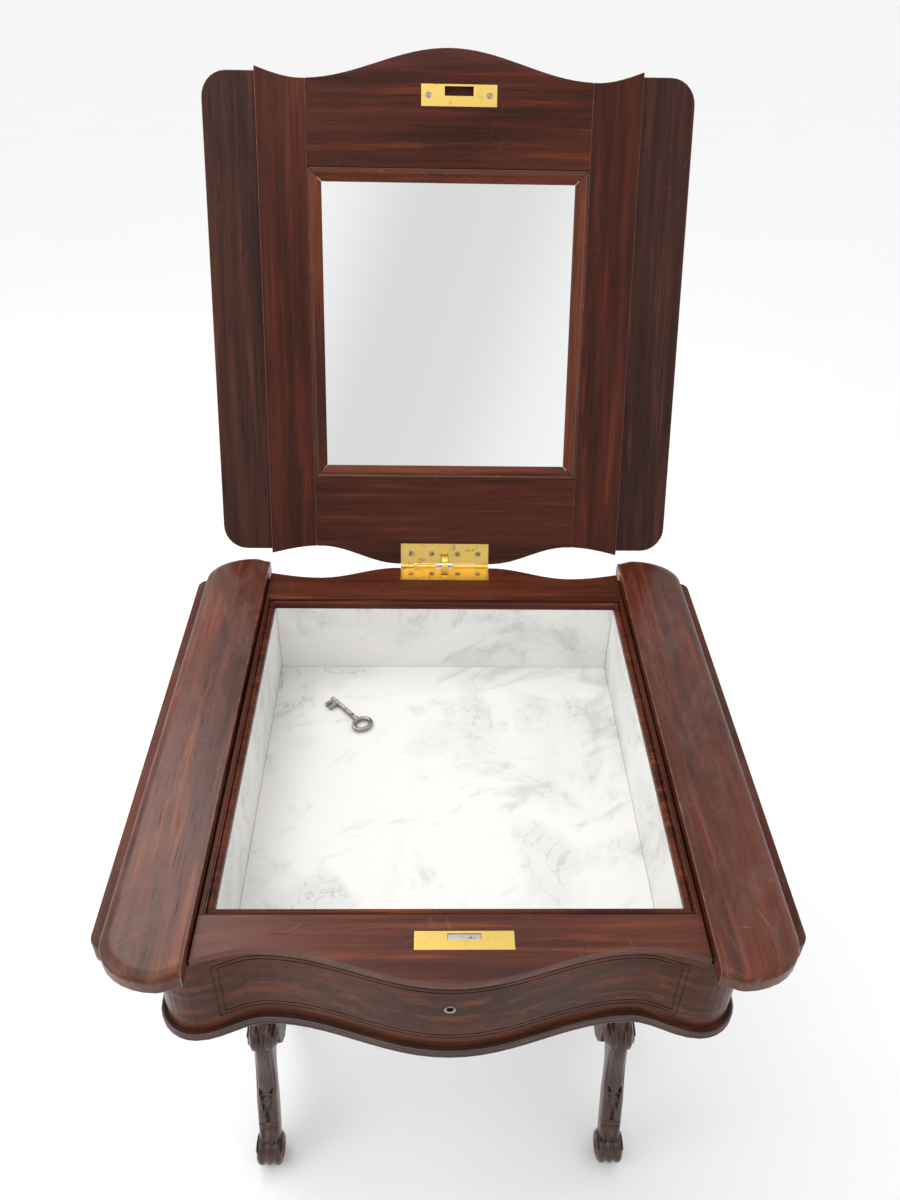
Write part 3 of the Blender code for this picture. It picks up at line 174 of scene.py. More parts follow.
class Graph:
    """The node tree of one material, with the few calls that finishes are written in.

    Args:
        name: The material's name.
    """

    def __init__(self, name: str) -> None:
        """Make an empty material with its Principled shader."""
        self.material = bpy.data.materials.new(name)
        self.material.use_nodes = True
        self.nodes = self.material.node_tree.nodes
        self.links = self.material.node_tree.links
        self.shader = self.nodes["Principled BSDF"]

    def add(self, kind: str, settings: dict | None = None, inputs: dict | None = None,
            output: str | int = 0) -> Tone:
        """Add any node.

        Args:
            kind: The node's type.
            settings: Its own settings, or "stops" for a colour ramp.
            inputs: Values or links, by socket name or number.
            output: The output socket wanted.

        Returns:
            The wanted output.
        """
        node = self.nodes.new(kind)
        for key, value in (settings or {}).items():
            if key == "stops":
                self.set_stops(node.color_ramp, value)
            else:
                setattr(node, key, value)
        for key, value in (inputs or {}).items():
            self.feed(node.inputs[key], value)
        return Tone(self, node.outputs[output])

    def feed(self, socket: bpy.types.NodeSocket, value: object) -> None:
        """Link a tone into a socket, or set its value."""
        if isinstance(value, Tone):
            self.links.new(value.socket, socket)
        elif socket.type == "RGBA" and len(value) == 3:
            socket.default_value = (*value, 1.0)
        else:
            socket.default_value = value

    @staticmethod
    def set_stops(ramp: bpy.types.ColorRamp, stops: list) -> None:
        """Give a colour ramp its stops, each a place and a colour."""
        while len(ramp.elements) > 1:
            ramp.elements.remove(ramp.elements[-1])
        for number, (place, colour) in enumerate(stops):
            element = ramp.elements[0] if number == 0 else ramp.elements.new(place)
            element.position = place
            element.color = (*colour, 1.0)

    def place(self, turn: tuple = (0, 0, 0), stretch: tuple = (1, 1, 1),
              shift: tuple = (0, 0, 0)) -> Tone:
        """Places on the piece in metres, turned and then stretched."""
        here = self.add("ShaderNodeTexCoord", None, None, "Object")
        turned = self.add("ShaderNodeMapping", {"vector_type": "TEXTURE"},
                          {"Vector": here, "Rotation": turn})
        return self.add("ShaderNodeMapping", None,
                        {"Vector": turned, "Scale": stretch, "Location": shift})

    def noise(self, place: Tone, scale: float, detail: float = 3.0, rough: float = 0.55,
              bend: float = 0.0) -> Tone:
        """Cloudy values about one half."""
        inputs = {"Vector": place, "Scale": scale, "Detail": detail,
                  "Roughness": rough, "Distortion": bend}
        return self.add("ShaderNodeTexNoise", None, inputs)

    def blend(self, share: object, first: object, second: object) -> Tone:
        """A colour between two colours."""
        return self.add("ShaderNodeMix", {"data_type": "RGBA"}, {0: share, 6: first, 7: second}, 2)

    def bump(self, height: Tone, depth: float, strength: float = 1.0) -> Tone:
        """A normal from a height in 0..1 that is depth metres deep."""
        inputs = {"Height": height, "Distance": depth, "Strength": strength}
        return self.add("ShaderNodeBump", None, inputs, "Normal")

    def shade(self, **values: object) -> None:
        """Feed the Principled shader, its socket names written with underscores."""
        for key, value in values.items():
            self.feed(self.shader.inputs[key.replace("_", " ")], value)


# ---------------------------------------------------------------- finishes
@dataclass(frozen=True)
class Mahogany:
    """Polished mahogany with figure, pores, scratches, soft wear and pale greyish patches: bloomed polish
    together with painted sheen.

    Attributes:
        name: The finish's name.
        dark: The colour of the dark figure.
        body: The main colour.
        streak: The colour of the red streaks.
        lie: Which way the grain runs.
        tilt: How far the piece is turned about X, in radians.
        gloss: The roughness of the polish.
        scratches: How much fine scratching shows, 0 to 1.
        shift: Moves the figure, so that pieces differ.
        sheen_and_bloom: How much pale greyish colour lies on the polish, 0 to 1: bloomed polish together
            with painted sheen.
        polish: The weight of its clear coat, 0 to 1.
        shine: How strongly the polish mirrors the room, 0 to 1.
    """

    name: str
    dark: Colour
    body: Colour
    streak: Colour
    lie: Lie = Lie.ACROSS
    tilt: float = 0.0
    gloss: float = 0.32
    scratches: float = 0.3
    shift: float = 0.0
    sheen_and_bloom: float = 0.0
    polish: float = 0.03
    shine: float = 0.12

    def make(self) -> bpy.types.Material:
        """Build the material."""
        graph = Graph(self.name)
        along = {Lie.ACROSS: 0, Lie.ALONG: 1, Lie.UPRIGHT: 2}[self.lie]
        turn = (self.tilt, 0.0, 0.0)
        shift = (self.shift, self.shift * 1.7, self.shift * 0.6)

        def run(share: float) -> tuple:
            """Stretch places so that detail runs along the grain."""
            return tuple(share if axis == along else 1.0 for axis in range(3))

        wide = graph.place(turn, run(0.16), shift)
        figure = graph.noise(wide, 15.0, 4.0, 0.55, 0.9)
        bands = graph.noise(graph.place(turn, run(0.04), shift), 110.0, 4.0, 0.62, 0.3)
        pores = graph.noise(graph.place(turn, run(0.035), shift), 620.0, 2.0, 0.5)
        pore = pores.ramp(0.60, 0.72)
        cloud = graph.noise(graph.place(turn, (1, 1, 1), shift), 7.0, 3.0, 0.6, 0.3)
        tone = figure * 0.45 + bands * 0.55
        colour = graph.blend(tone.ramp(0.36, 0.60), self.dark, self.body)
        red = bands.ramp(0.53, 0.70) * cloud.ramp(0.35, 0.62)
        colour = graph.blend(red * 0.85, colour, self.streak)
        colour = graph.blend(pore * 0.55, colour, tuple(0.35 * part for part in self.dark))
        scratch = self._scratches(graph, turn, shift)
        pale = tuple(min(1.0, part * 2.2 + 0.05) for part in self.body)
        colour = graph.blend(scratch * (0.45 * self.scratches), colour, pale)
        # pale greyish patches on the polish: bloomed polish together with painted sheen, a greyish
        # lightening where light catches the surface
        sheen_and_bloom_mask = graph.noise(graph.place(turn, run(0.4), shift), 26.0, 5.0, 0.7, 1.2).ramp(0.42, 0.74)
        colour = graph.blend(sheen_and_bloom_mask * self.sheen_and_bloom, colour, (0.20, 0.13, 0.11))
        smudge = graph.noise(graph.place(turn, (1, 1, 1), shift), 34.0, 4.0, 0.65)
        rough = smudge * 0.22 + sheen_and_bloom_mask * (0.3 * self.sheen_and_bloom) + pore * 0.18 + (self.gloss - 0.11)
        height = 1.0 - pore * 0.6 - scratch * (0.35 * self.scratches) + cloud * 0.3
        graph.shade(Base_Color=colour, Roughness=rough, Normal=graph.bump(height, 0.00012, 0.55))
        graph.shade(Coat_Weight=self.polish, Coat_Roughness=0.14, Specular_IOR_Level=self.shine)
        return graph.material

    def _scratches(self, graph: Graph, turn: tuple, shift: tuple) -> Tone:
        """Fine lines in three directions, broken into short lengths."""
        total: Tone | None = None
        for number, lean in enumerate((0.35, -0.9, 1.5)):
            place = graph.add("ShaderNodeMapping", {"vector_type": "TEXTURE"},
                              {"Vector": graph.place(turn, (1, 1, 1), shift), "Rotation": (0, 0, lean)})
            thin = graph.add("ShaderNodeMapping", None, {"Vector": place, "Scale": (1.0, 0.045, 1.0)})
            line = graph.noise(thin, 420.0 + 90.0 * number, 1.0, 0.4).ramp(0.70, 0.76)
            patch = graph.noise(place, 22.0 + 7.0 * number, 2.0, 0.5).ramp(0.52, 0.62)
            total = line * patch if total is None else total + line * patch
        return total


@dataclass(frozen=True)
class WornEdge:
    """The rubbed arris of a polished board, where bare orange wood shows in places.

    Attributes:
        name: The finish's name.
        kept: The colour where polish is left.
        bare: The colour of the bare wood.
        share: How much of the edge is rubbed, 0 to 1.
    """

    name: str
    kept: Colour
    bare: Colour = (0.36, 0.105, 0.034)
    share: float = 0.6

    def make(self) -> bpy.types.Material:
        """Build the material."""
        graph = Graph(self.name)
        place = graph.place()
        rub = graph.noise(place, 38.0, 5.0, 0.7, 0.6)
        fine = graph.noise(place, 320.0, 3.0, 0.6)
        mask = (rub * 0.7 + fine * 0.3).ramp(0.62 - 0.22 * self.share, 0.74 - 0.22 * self.share)
        colour = graph.blend(mask, self.kept, self.bare)
        graph.shade(Base_Color=colour, Roughness=mask * 0.12 + 0.34,
                    Normal=graph.bump(fine, 0.0001, 0.5))
        graph.shade(Coat_Weight=0.2, Coat_Roughness=0.2)
        return graph.material


@dataclass(frozen=True)
class Marble:
    """Honed white marble with soft grey clouds and a few thin veins.

    Attributes:
        name: The finish's name.
        shift: Moves the veins, so that slabs differ.
    """

    name: str
    shift: float = 0.0

    def make(self) -> bpy.types.Material:
        """Build the material."""
        graph = Graph(self.name)
        place = graph.place((0, 0, 0.6), (1, 1, 1), (self.shift, self.shift * 0.7, 0))
        cloud = graph.noise(place, 5.5, 7.0, 0.62, 0.8)
        drift_place = graph.place((0, 0, 0.5), (1.0, 2.2, 1.0), (self.shift, 0, 0))
        drift = graph.noise(drift_place, 6.0, 8.0, 0.66, 1.6)
        thin = graph.noise(place, 9.0, 6.0, 0.6, 2.4)
        vein = 1.0 - ((thin - 0.5) * (thin - 0.5)) ** 0.5 * 34.0
        vein = vein.ramp(0.0, 1.0) * cloud.ramp(0.50, 0.66)
        speck = graph.noise(place, 210.0, 3.0, 0.6).ramp(0.64, 0.74)
        colour = graph.blend(cloud.ramp(0.46, 0.66) * 0.75, (0.80, 0.788, 0.762), (0.62, 0.625, 0.615))
        colour = graph.blend(drift.ramp(0.52, 0.68) * 0.60, colour, (0.46, 0.47, 0.465))
        colour = graph.blend(vein * 0.55, colour, (0.34, 0.35, 0.35))
        colour = graph.blend(speck * 0.12, colour, (0.55, 0.53, 0.49))
        rough = cloud * 0.12 + 0.26
        grain = graph.noise(place, 900.0, 2.0, 0.5)
        graph.shade(Base_Color=colour, Roughness=rough, Normal=graph.bump(grain, 0.00004, 0.25))
        graph.shade(Subsurface_Weight=0.06, Subsurface_Radius=(0.01, 0.01, 0.01), Subsurface_Scale=0.6)
        return graph.material


@dataclass(frozen=True)
class Metal:
    """An old metal: polished in the middle, tarnished in clouds, finely scratched.

    Attributes:
        name: The finish's name.
        bright: The clean colour.
        dull: The tarnished colour.
        tarnish: How much of it is dull, 0 to 1.
        rough: The roughness where it is clean.
        tilt: How far the piece is turned about X, in radians.
    """

    name: str
    bright: Colour
    dull: Colour
    tarnish: float = 0.4
    rough: float = 0.28
    tilt: float = 0.0

    def make(self) -> bpy.types.Material:
        """Build the material."""
        graph = Graph(self.name)
        turn = (self.tilt, 0.0, 0.0)
        place = graph.place(turn)
        cloud = graph.noise(place, 95.0, 5.0, 0.65, 0.5)
        spot = graph.noise(place, 420.0, 3.0, 0.6)
        mask = (cloud * 0.72 + spot * 0.28).ramp(0.66 - 0.3 * self.tarnish, 0.80 - 0.3 * self.tarnish)
        brushed = graph.noise(graph.place(turn, (0.03, 1, 1)), 1500.0, 2.0, 0.5)
        colour = graph.blend(mask, self.bright, self.dull)
        colour = graph.blend(brushed.ramp(0.55, 0.75) * 0.18, colour, self.dull)
        rough = mask * 0.22 + brushed * 0.16 + (self.rough - 0.06)
        height = brushed * 0.5 + spot * 0.3 - mask * 0.2
        graph.shade(Base_Color=colour, Roughness=rough, Metallic=1.0 - mask * 0.25)
        graph.shade(Normal=graph.bump(height, 0.00005, 0.5))
        return graph.material


@dataclass(frozen=True)
class SilveredGlass:
    """Old plate glass silvered behind: nearly perfect, with a faint haze and spots of foxing.

    Attributes:
        name: The finish's name.
    """

    name: str

    def make(self) -> bpy.types.Material:
        """Build the material."""
        graph = Graph(self.name)
        haze = graph.noise(graph.place(), 14.0, 4.0, 0.6)
        foxing = graph.noise(graph.place(), 120.0, 4.0, 0.65).ramp(0.70, 0.80)
        colour = graph.blend(foxing * 0.25, (0.90, 0.915, 0.915), (0.62, 0.63, 0.62))
        graph.shade(Base_Color=colour, Roughness=haze * 0.03 + 0.012, Metallic=1.0)
        return graph.material


LID_TILT = -LID_OPEN
EDGE = WornEdge("rubbed_edge", (0.12, 0.034, 0.015))
LIMB_SLIM = 0.0132              # half of the leg limb's depth at its lower end
LIMB_BROAD = 0.0425             # half of its depth at the joint
LIMB_SQUARENESS = 0.55          # power that squares the limb's round section
ROLL_STEPS = 36                 # steps across a scroll
ROLL_SIDES = 48                 # sides round a scroll
LID_EDGE = WornEdge("rubbed_lid_edge", (0.10, 0.028, 0.013), (0.30, 0.085, 0.030), 0.5)
DARK_EDGE = WornEdge("rubbed_dark_edge", (0.050, 0.016, 0.010), (0.20, 0.062, 0.026), 0.3)


# ---------------------------------------------------------------- piece helpers
def dress(node: str, finish: bpy.types.Material) -> None:
    """Give a node of the frame its finish."""
    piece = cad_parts[node]
    piece.data.materials.clear()
    piece.data.materials.append(finish)


def link(name: str, data: bmesh.types.BMesh, finishes: list[bpy.types.Material]) -> bpy.types.Object:
    """Turn a bmesh into a piece.

    Args:
        name: The piece's name.
        data: Its shape, which is used up.
        finishes: Its materials, in slot order.

    Returns:
        The new object.
    """
    mesh = bpy.data.meshes.new(name)
    data.to_mesh(mesh)
    data.free()
    for finish in finishes:
        mesh.materials.append(finish)
    piece = bpy.data.objects.new(name, mesh)
    bpy.context.scene.collection.objects.link(piece)
    return piece


def apply_modifiers(piece: bpy.types.Object) -> None:
    """Replace a piece's mesh by its evaluated one."""
    bpy.context.view_layer.update()
    shape = piece.evaluated_get(bpy.context.evaluated_depsgraph_get())
    mesh = bpy.data.meshes.new_from_object(shape)
    piece.modifiers.clear()
    piece.data = mesh


def stand_in(piece: bpy.types.Object, node: str, body: str) -> None:
    """Say that a piece replaces a node and moves with its body."""
    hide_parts(node)
    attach(piece, body)
    LOG.info("%s stands for %s on %s", piece.name, node, body)


def soften(node: str, body: str, finish: bpy.types.Material, edge: bpy.types.Material,
           width: float = 0.0008, steps: int = 2, sharp: float = 38.0) -> bpy.types.Object:
    """Copy a node with its arrises eased, and the eased faces in their own worn finish.

    Args:
        node: The node that is replaced.
        body: The body that it moves with.
        finish: The finish of its faces.
        edge: The finish of its eased edges.
        width: How wide the easing is.
        steps: How many faces round it.
        sharp: The smallest angle that is eased, in degrees.

    Returns:
        The new piece.
    """
    data = bmesh.new()
    data.from_mesh(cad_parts[node].data)
    bmesh.ops.remove_doubles(data, verts=data.verts, dist=0.00002)
    bmesh.ops.dissolve_limit(data, angle_limit=math.radians(0.5), verts=data.verts, edges=data.edges)
    for face in data.faces:
        face.material_index = 0
        face.smooth = True
    piece = link(node + "_eased", data, [finish, edge])
    bevel = piece.modifiers.new("eased", "BEVEL")
    bevel.width = width
    bevel.segments = steps
    bevel.limit_method = "ANGLE"
    bevel.angle_limit = math.radians(sharp)
    bevel.material = 1
    bevel.miter_outer = "MITER_ARC"
    apply_modifiers(piece)
    piece.data.shade_smooth()
    piece.data.set_sharp_from_angle(angle=math.radians(48))
    weigh = piece.modifiers.new("flat_faces_stay_flat", "WEIGHTED_NORMAL")
    weigh.weight = 100
    weigh.keep_sharp = True
    apply_modifiers(piece)
    stand_in(piece, node, body)
    return piece


# ---------------------------------------------------------------- sub-assemblies
@dataclass
class Casework:
    """The case under the rim: aprons, sides and the reeded base.

    Attributes:
        dark: The dark figure of its wood.
        body: Its main colour.
        streak: Its red streaks.
    """

    dark: Colour = (0.032, 0.0090, 0.0042)
    body: Colour = (0.082, 0.0200, 0.0072)
    streak: Colour = (0.150, 0.0400, 0.0130)

    def build(self) -> None:
        """Dress the case."""
        front = Mahogany("apron_mahogany", self.dark, self.body, self.streak, Lie.ACROSS, 0.0, 0.30, 0.35,
                         0.31).make()
        sides = Mahogany("side_mahogany", self.dark, self.body, self.streak, Lie.ALONG, 0.0, 0.32, 0.3,
                         0.83).make()
        base = Mahogany("base_mahogany", (0.026, 0.010, 0.007), (0.056, 0.020, 0.013), (0.10, 0.033, 0.017),
                        Lie.ACROSS, 0.0, 0.30, 0.4, 1.3, shine=0.55, polish=0.25).make()
        dress("front_apron", front)
        dress("rear_apron", front)
        edge = DARK_EDGE.make()
        for side in ("left", "right"):
            soften(f"side_panel_{side}", "table", sides, edge, 0.0006)
        soften("case_base", "table", base, edge, 0.0004, 1, 60.0)


@dataclass
class RimFrame:
    """The flat frame, its bead, the raised side tops and the slides.

    Attributes:
        dark: The dark figure of its wood.
        body: Its main colour.
        streak: Its red streaks.
    """

    dark: Colour = (0.046, 0.0110, 0.0055)
    body: Colour = (0.105, 0.0220, 0.0088)
    streak: Colour = (0.205, 0.0490, 0.0175)

    def build(self) -> None:
        """Dress the rim."""
        edge = EDGE.make()
        dark_edge = DARK_EDGE.make()
        rails = Mahogany("rim_mahogany", self.dark, self.body, self.streak, Lie.ACROSS, 0.0, 0.30, 0.55,
                         0.12, shine=0.28).make()
        cheeks = Mahogany("cheek_mahogany", self.dark, self.body, self.streak, Lie.ALONG, 0.0, 0.30, 0.4,
                          0.47).make()
        for node in ("top_rail_front", "top_rail_rear"):
            soften(node, "table", rails, dark_edge, 0.0005)
        for side, shift in (("left", 0.2), ("right", 0.9)):
            soften(f"top_rail_{side}", "table", cheeks, dark_edge, 0.0004)
            # the side tops take pale greyish patches: bloomed polish together with painted sheen
            top = Mahogany(f"side_top_{side}_mahogany", self.dark, self.body, self.streak, Lie.ALONG, 0.0,
                           0.29, 0.9, shift, 0.22, shine=0.28, polish=0.06).make()
            soften(f"side_top_{side}", "table", top, edge, 0.0007)
            # the slides take the same pale greyish patches of bloomed polish and painted sheen
            slide = Mahogany(f"slide_{side}_mahogany", self.dark, self.body, self.streak, Lie.ALONG, 0.0,
                             0.36, 0.7, shift + 0.4, 0.2).make()
            soften(f"slide_{side}", f"slide_{side}", slide, edge, 0.0012)
        bead = Mahogany("bead_mahogany", (0.040, 0.0095, 0.005), (0.115, 0.025, 0.0095), (0.22, 0.055, 0.02),
                        Lie.ACROSS, 0.0, 0.27, 0.3, 0.7).make()
        for side in ("front", "rear", "left", "right"):
            dress(f"well_bead_{side}", bead)


@dataclass
class MirrorLid:
    """The lid: top board, framed panel, mouldings and glass.

    Attributes:
        dark: The dark figure of its wood.
        body: Its main colour.
        streak: Its red streaks.
    """

    dark: Colour = (0.029, 0.0074, 0.0044)
    body: Colour = (0.070, 0.0155, 0.0080)
    streak: Colour = (0.132, 0.0290, 0.0112)

    def build(self) -> None:
        """Dress the lid."""
        edge = LID_EDGE.make()
        dark_edge = DARK_EDGE.make()
        board = Mahogany("lid_board_mahogany", (0.028, 0.0110, 0.0085), (0.060, 0.0205, 0.0140),
                         (0.105, 0.034, 0.020), Lie.ALONG, LID_TILT, 0.40, 0.35, 0.62).make()
        rail = Mahogany("lid_rail_mahogany", self.dark, self.body, self.streak, Lie.ACROSS, LID_TILT, 0.33,
                        0.25, 0.26).make()
        stile = Mahogany("lid_stile_mahogany", self.dark, self.body, self.streak, Lie.ALONG, LID_TILT, 0.33,
                         0.25, 0.55).make()
        soften("lid_top", "lid", board, edge, 0.0007)
        soften("lid_rail_front", "lid", rail, edge, 0.0005)
        soften("lid_rail_rear", "lid", rail, edge, 0.0005)
        for side in ("left", "right"):
            soften(f"lid_stile_{side}", "lid", stile, edge, 0.0006)
        light = ((0.050, 0.0125, 0.0060), (0.145, 0.0350, 0.0135), (0.250, 0.0700, 0.0250))
        across = Mahogany("moulding_across", *light, Lie.ACROSS, LID_TILT, 0.30, 0.3, 0.15).make()
        along = Mahogany("moulding_along", *light, Lie.ALONG, LID_TILT, 0.30, 0.3, 0.65).make()
        for side, finish in (("front", across), ("rear", across), ("left", along), ("right", along)):
            soften(f"mirror_moulding_{side}", "lid", finish, dark_edge, 0.0004)
        dress("mirror_glass", SilveredGlass("silvered_glass").make())


@dataclass
class Fittings:
    """Marble, brass and steel: the well's lining, the lock, the hinge and the key."""

    brass: tuple[Colour, Colour] = ((0.80, 0.560, 0.150), (0.42, 0.235, 0.060))
    steel: tuple[Colour, Colour] = ((0.36, 0.345, 0.32), (0.085, 0.072, 0.060))

    def build(self) -> None:
        """Dress the fittings."""
        for number, side in enumerate(("floor", "front", "rear", "left", "right")):
            node = "marble_floor" if side == "floor" else f"marble_wall_{side}"
            dress(node, Marble(f"marble_{side}", 0.4 + 0.9 * number).make())
        plate = Metal("lock_brass", *self.brass, 0.35, 0.30).make()
        leaf = Metal("hinge_brass", *self.brass, 0.45, 0.30).make()
        dull = Metal("old_steel", *self.steel, 0.6, 0.36).make()
        bolt = Metal("bolt_steel", (0.50, 0.48, 0.46), self.steel[1], 0.4, 0.34).make()
        brass_edge = Metal("brass_edge", (0.90, 0.68, 0.25), self.brass[0], 0.2, 0.24).make()
        steel_edge = Metal("steel_edge", (0.60, 0.58, 0.55), self.steel[0], 0.3, 0.3).make()
        soften("lock_plate", "table", plate, brass_edge, 0.0002)
        soften("striker_plate", "lid", plate, brass_edge, 0.0002)
        dress("hinge_leaf_case", leaf)
        dress("hinge_leaf_lid", leaf)
        dress("hinge_pin", dull)
        dress("keyhole_ring", dull)
        soften("lock_bolt", "lock_bolt", bolt, steel_edge, 0.0004)
        screws = [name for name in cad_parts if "screw" in name]
        for name in screws:
            dress(name, dull)
        dress("key", dull)


@dataclass
class EndFrames:
    """The carved scroll legs and the boards and stretcher that join them.

    Attributes:
        dark: The dark figure of their wood.
        body: Their main colour.
        streak: Their red streaks.
    """

    dark: Colour = (0.020, 0.0075, 0.0048)
    body: Colour = (0.055, 0.0160, 0.0085)
    streak: Colour = (0.115, 0.0340, 0.0145)

    def build(self) -> None:
        """Dress the boards and build the carved legs."""
        upright = Mahogany("upright_mahogany", self.dark, self.body, self.streak, Lie.UPRIGHT, 0.0, 0.34,
                           0.3, 0.4).make()
        across = Mahogany("stretcher_mahogany", self.dark, self.body, self.streak, Lie.ACROSS, 0.0, 0.32,
                          0.2, 0.9).make()
        edge = DARK_EDGE.make()
        for side in ("left", "right"):
            soften(f"end_standard_{side}", "table", upright, edge, 0.0020, 3)
            soften(f"bearer_{side}", "table", across, edge, 0.0012)
        dress("stretcher", across)
        carved = Mahogany("carved_mahogany", self.dark, self.body, self.streak, Lie.UPRIGHT, 0.0, 0.28,
                          0.35, 1.4, shine=0.42, polish=0.2).make()
        for side in ("left", "right"):
            for place in ("front", "rear"):
                ScrollLeg(side, place).build(carved)


@dataclass
class ScrollLeg:
    """One downswept leg: a carved limb with a leaf, a band and two pairs of scrolls.

    Attributes:
        side: left or right.
        place: front or rear.
        knee_radius: The knee scroll's radius.
        toe_radius: The toe scroll's radius.
        knee_height: The knee scroll's middle above the floor.
        knee_reach: The knee scroll's middle out from the joint.
        limb_rings: How many rings the limb has along its length.
        limb_sides: How many points each ring has.
    """

    side: str
    place: str
    knee_radius: float = 0.0205
    toe_radius: float = 0.0212
    knee_height: float = 0.205
    knee_reach: float = 0.0295
    limb_rings: int = 150
    limb_sides: int = 64

    @property
    def node(self) -> str:
        """The node that it stands for."""
        return f"scroll_leg_{self.place}_{self.side}"

    @property
    def outward(self) -> int:
        """Which way along y the leg reaches."""
        return -1 if self.place == "front" else 1

    @property
    def outer(self) -> int:
        """Which way along x its carved outer face looks."""
        return -1 if self.side == "left" else 1

    def at(self, across: float, reach: float, height: float) -> Vector:
        """A point from a distance outwards, a reach from the joint and a height."""
        root = high(self.node).y if self.outward < 0 else low(self.node).y
        return Vector((middle(self.node).x + self.outer * across, root + self.outward * reach, height))

    @property
    def toe_reach(self) -> float:
        """The toe scroll's middle, out from the joint."""
        return high(self.node).y - low(self.node).y - self.toe_radius

    def spine(self, share: float) -> tuple[Vector, Vector]:
        """The limb's middle line in (reach, height) and its direction."""
        start, knee = Vector((0.0, 0.192)), Vector((0.044, 0.196))
        shin, toe = Vector((0.046, 0.096)), Vector((self.toe_reach - 0.004, 0.026))
        rest = 1 - share
        point = rest ** 3 * start + 3 * rest * rest * share * knee + 3 * rest * share * share * shin
        point += share ** 3 * toe
        along = rest * rest * (knee - start) + 2 * rest * share * (shin - knee)
        along += share * share * (toe - shin)
        return point, along.normalized()

    def depth(self, share: float) -> float:
        """Half of the limb's depth in its own plane."""
        swell = 0.5 + 0.5 * math.cos(math.pi * min(1.0, share / 0.5))
        return LIMB_SLIM + (LIMB_BROAD - LIMB_SLIM) * swell

    def relief(self, share: float, front: float, across: float) -> float:
        """How far the carving stands out.

        Args:
            share: The place along the limb, 0 to 1.
            front: How squarely the point faces outwards, -1 to 1.
            across: The point's place across the limb, -1 to 1.

        Returns:
            The height of the carving, in metres.
        """
        if front <= 0:
            return 0.0
        wide = abs(across)
        leaf_start, band, toe = 0.55, 0.815, 0.85
        tip = leaf_start + 0.05 * (abs(wide - 0.62) / 0.38)
        height = 0.0
        if share < tip:
            height += 0.0026 * (1 - wide * wide) - 0.0022 * math.exp(-((wide - 0.80) / 0.09) ** 2)
        elif share < band:
            run = (share - tip) / (band - tip)
            mouth = 0.60 * (1 - run) ** 1.2
            raised = min(1.0, max(0.0, (wide - mouth) / 0.10))
            edge = math.exp(-((wide - mouth - 0.13) / 0.07) ** 2)
            height += 0.0034 * raised * min(1.0, run * 14) + 0.0008 * edge - 0.0004
            height -= 0.0012 * math.exp(-((wide - mouth) / 0.05) ** 2)
        elif share < toe:
            height += 0.0024
        else:
            height += 0.0018 + 0.0016 * math.cos(across * 3 * math.pi) * min(1.0, (share - toe) * 30)
        for place in (band, toe):
            height -= 0.0030 * math.exp(-((share - place) / 0.0065) ** 2)
        return height * min(1.0, front * 2.2)

    def limb(self, data: bmesh.types.BMesh) -> None:
        """The carved limb, its inner face flat."""
        rows = []
        for ring in range(self.limb_rings + 1):
            share = ring / self.limb_rings
            point, along = self.spine(share)
            normal = Vector((-along.y, along.x))
            half = self.depth(share)
            row = []
            for side in range(self.limb_sides):
                turn = 2 * math.pi * side / self.limb_sides
                cosine, sine = math.cos(turn), math.sin(turn)
                across = math.copysign(abs(cosine) ** LIMB_SQUARENESS, cosine)
                out = math.copysign(abs(sine) ** LIMB_SQUARENESS, sine)
                lift = self.relief(share, out, across)
                cheek = 0.0118 + 0.0020 * min(1.0, share * share * 2.2)
                offset = normal * (out * half + lift * out)
                place = point + offset
                row.append(data.verts.new(self.at(across * cheek, place.x, place.y)))
            rows.append(row)
        for first, second in zip(rows, rows[1:]):
            for side in range(self.limb_sides):
                after = (side + 1) % self.limb_sides
                data.faces.new((first[side], first[after], second[after], second[side]))
        data.faces.new(rows[0][::-1])
        data.faces.new(rows[-1])

    def roll(self, data: bmesh.types.BMesh, reach: float, height: float, radius: float, half: float,
             reeds: int, groove: float) -> None:
        """A scroll: rounded reeds side by side with a spiral on each end.

        Args:
            data: The mesh that it is added to.
            reach: Its middle, out from the joint.
            height: Its middle, above the floor.
            radius: Its radius.
            half: Half of its width.
            reeds: How many reeds run round it.
            groove: How deep the grooves between them are.
        """
        profile = []
        for share in [step / ROLL_STEPS for step in range(ROLL_STEPS + 1)]:
            across = -half + 2 * half * share
            wave = 1 - groove / radius * abs(math.cos(math.pi * share * reeds)) ** 5
            rim = 1 - (abs(across) / half) ** 10 * 0.10
            profile.append((across, radius * wave * rim))
        sides = ROLL_SIDES
        rows = []
        for across, wide in profile:
            row = []
            for side in range(sides):
                turn = 2 * math.pi * side / sides
                place = (reach + wide * math.cos(turn), max(0.0, height + wide * math.sin(turn)))
                row.append(data.verts.new(self.at(across, *place)))
            rows.append(row)
        for first, second in zip(rows, rows[1:]):
            for side in range(sides):
                after = (side + 1) % sides
                data.faces.new((first[side], first[after], second[after], second[side]))
        for row, face in ((rows[0], -half), (rows[-1], half)):
            middle_point = data.verts.new(self.at(face, reach, height))
            for side in range(sides):
                data.faces.new((row[side], row[(side + 1) % sides], middle_point))
            self.spiral(data, reach, height, radius, face)

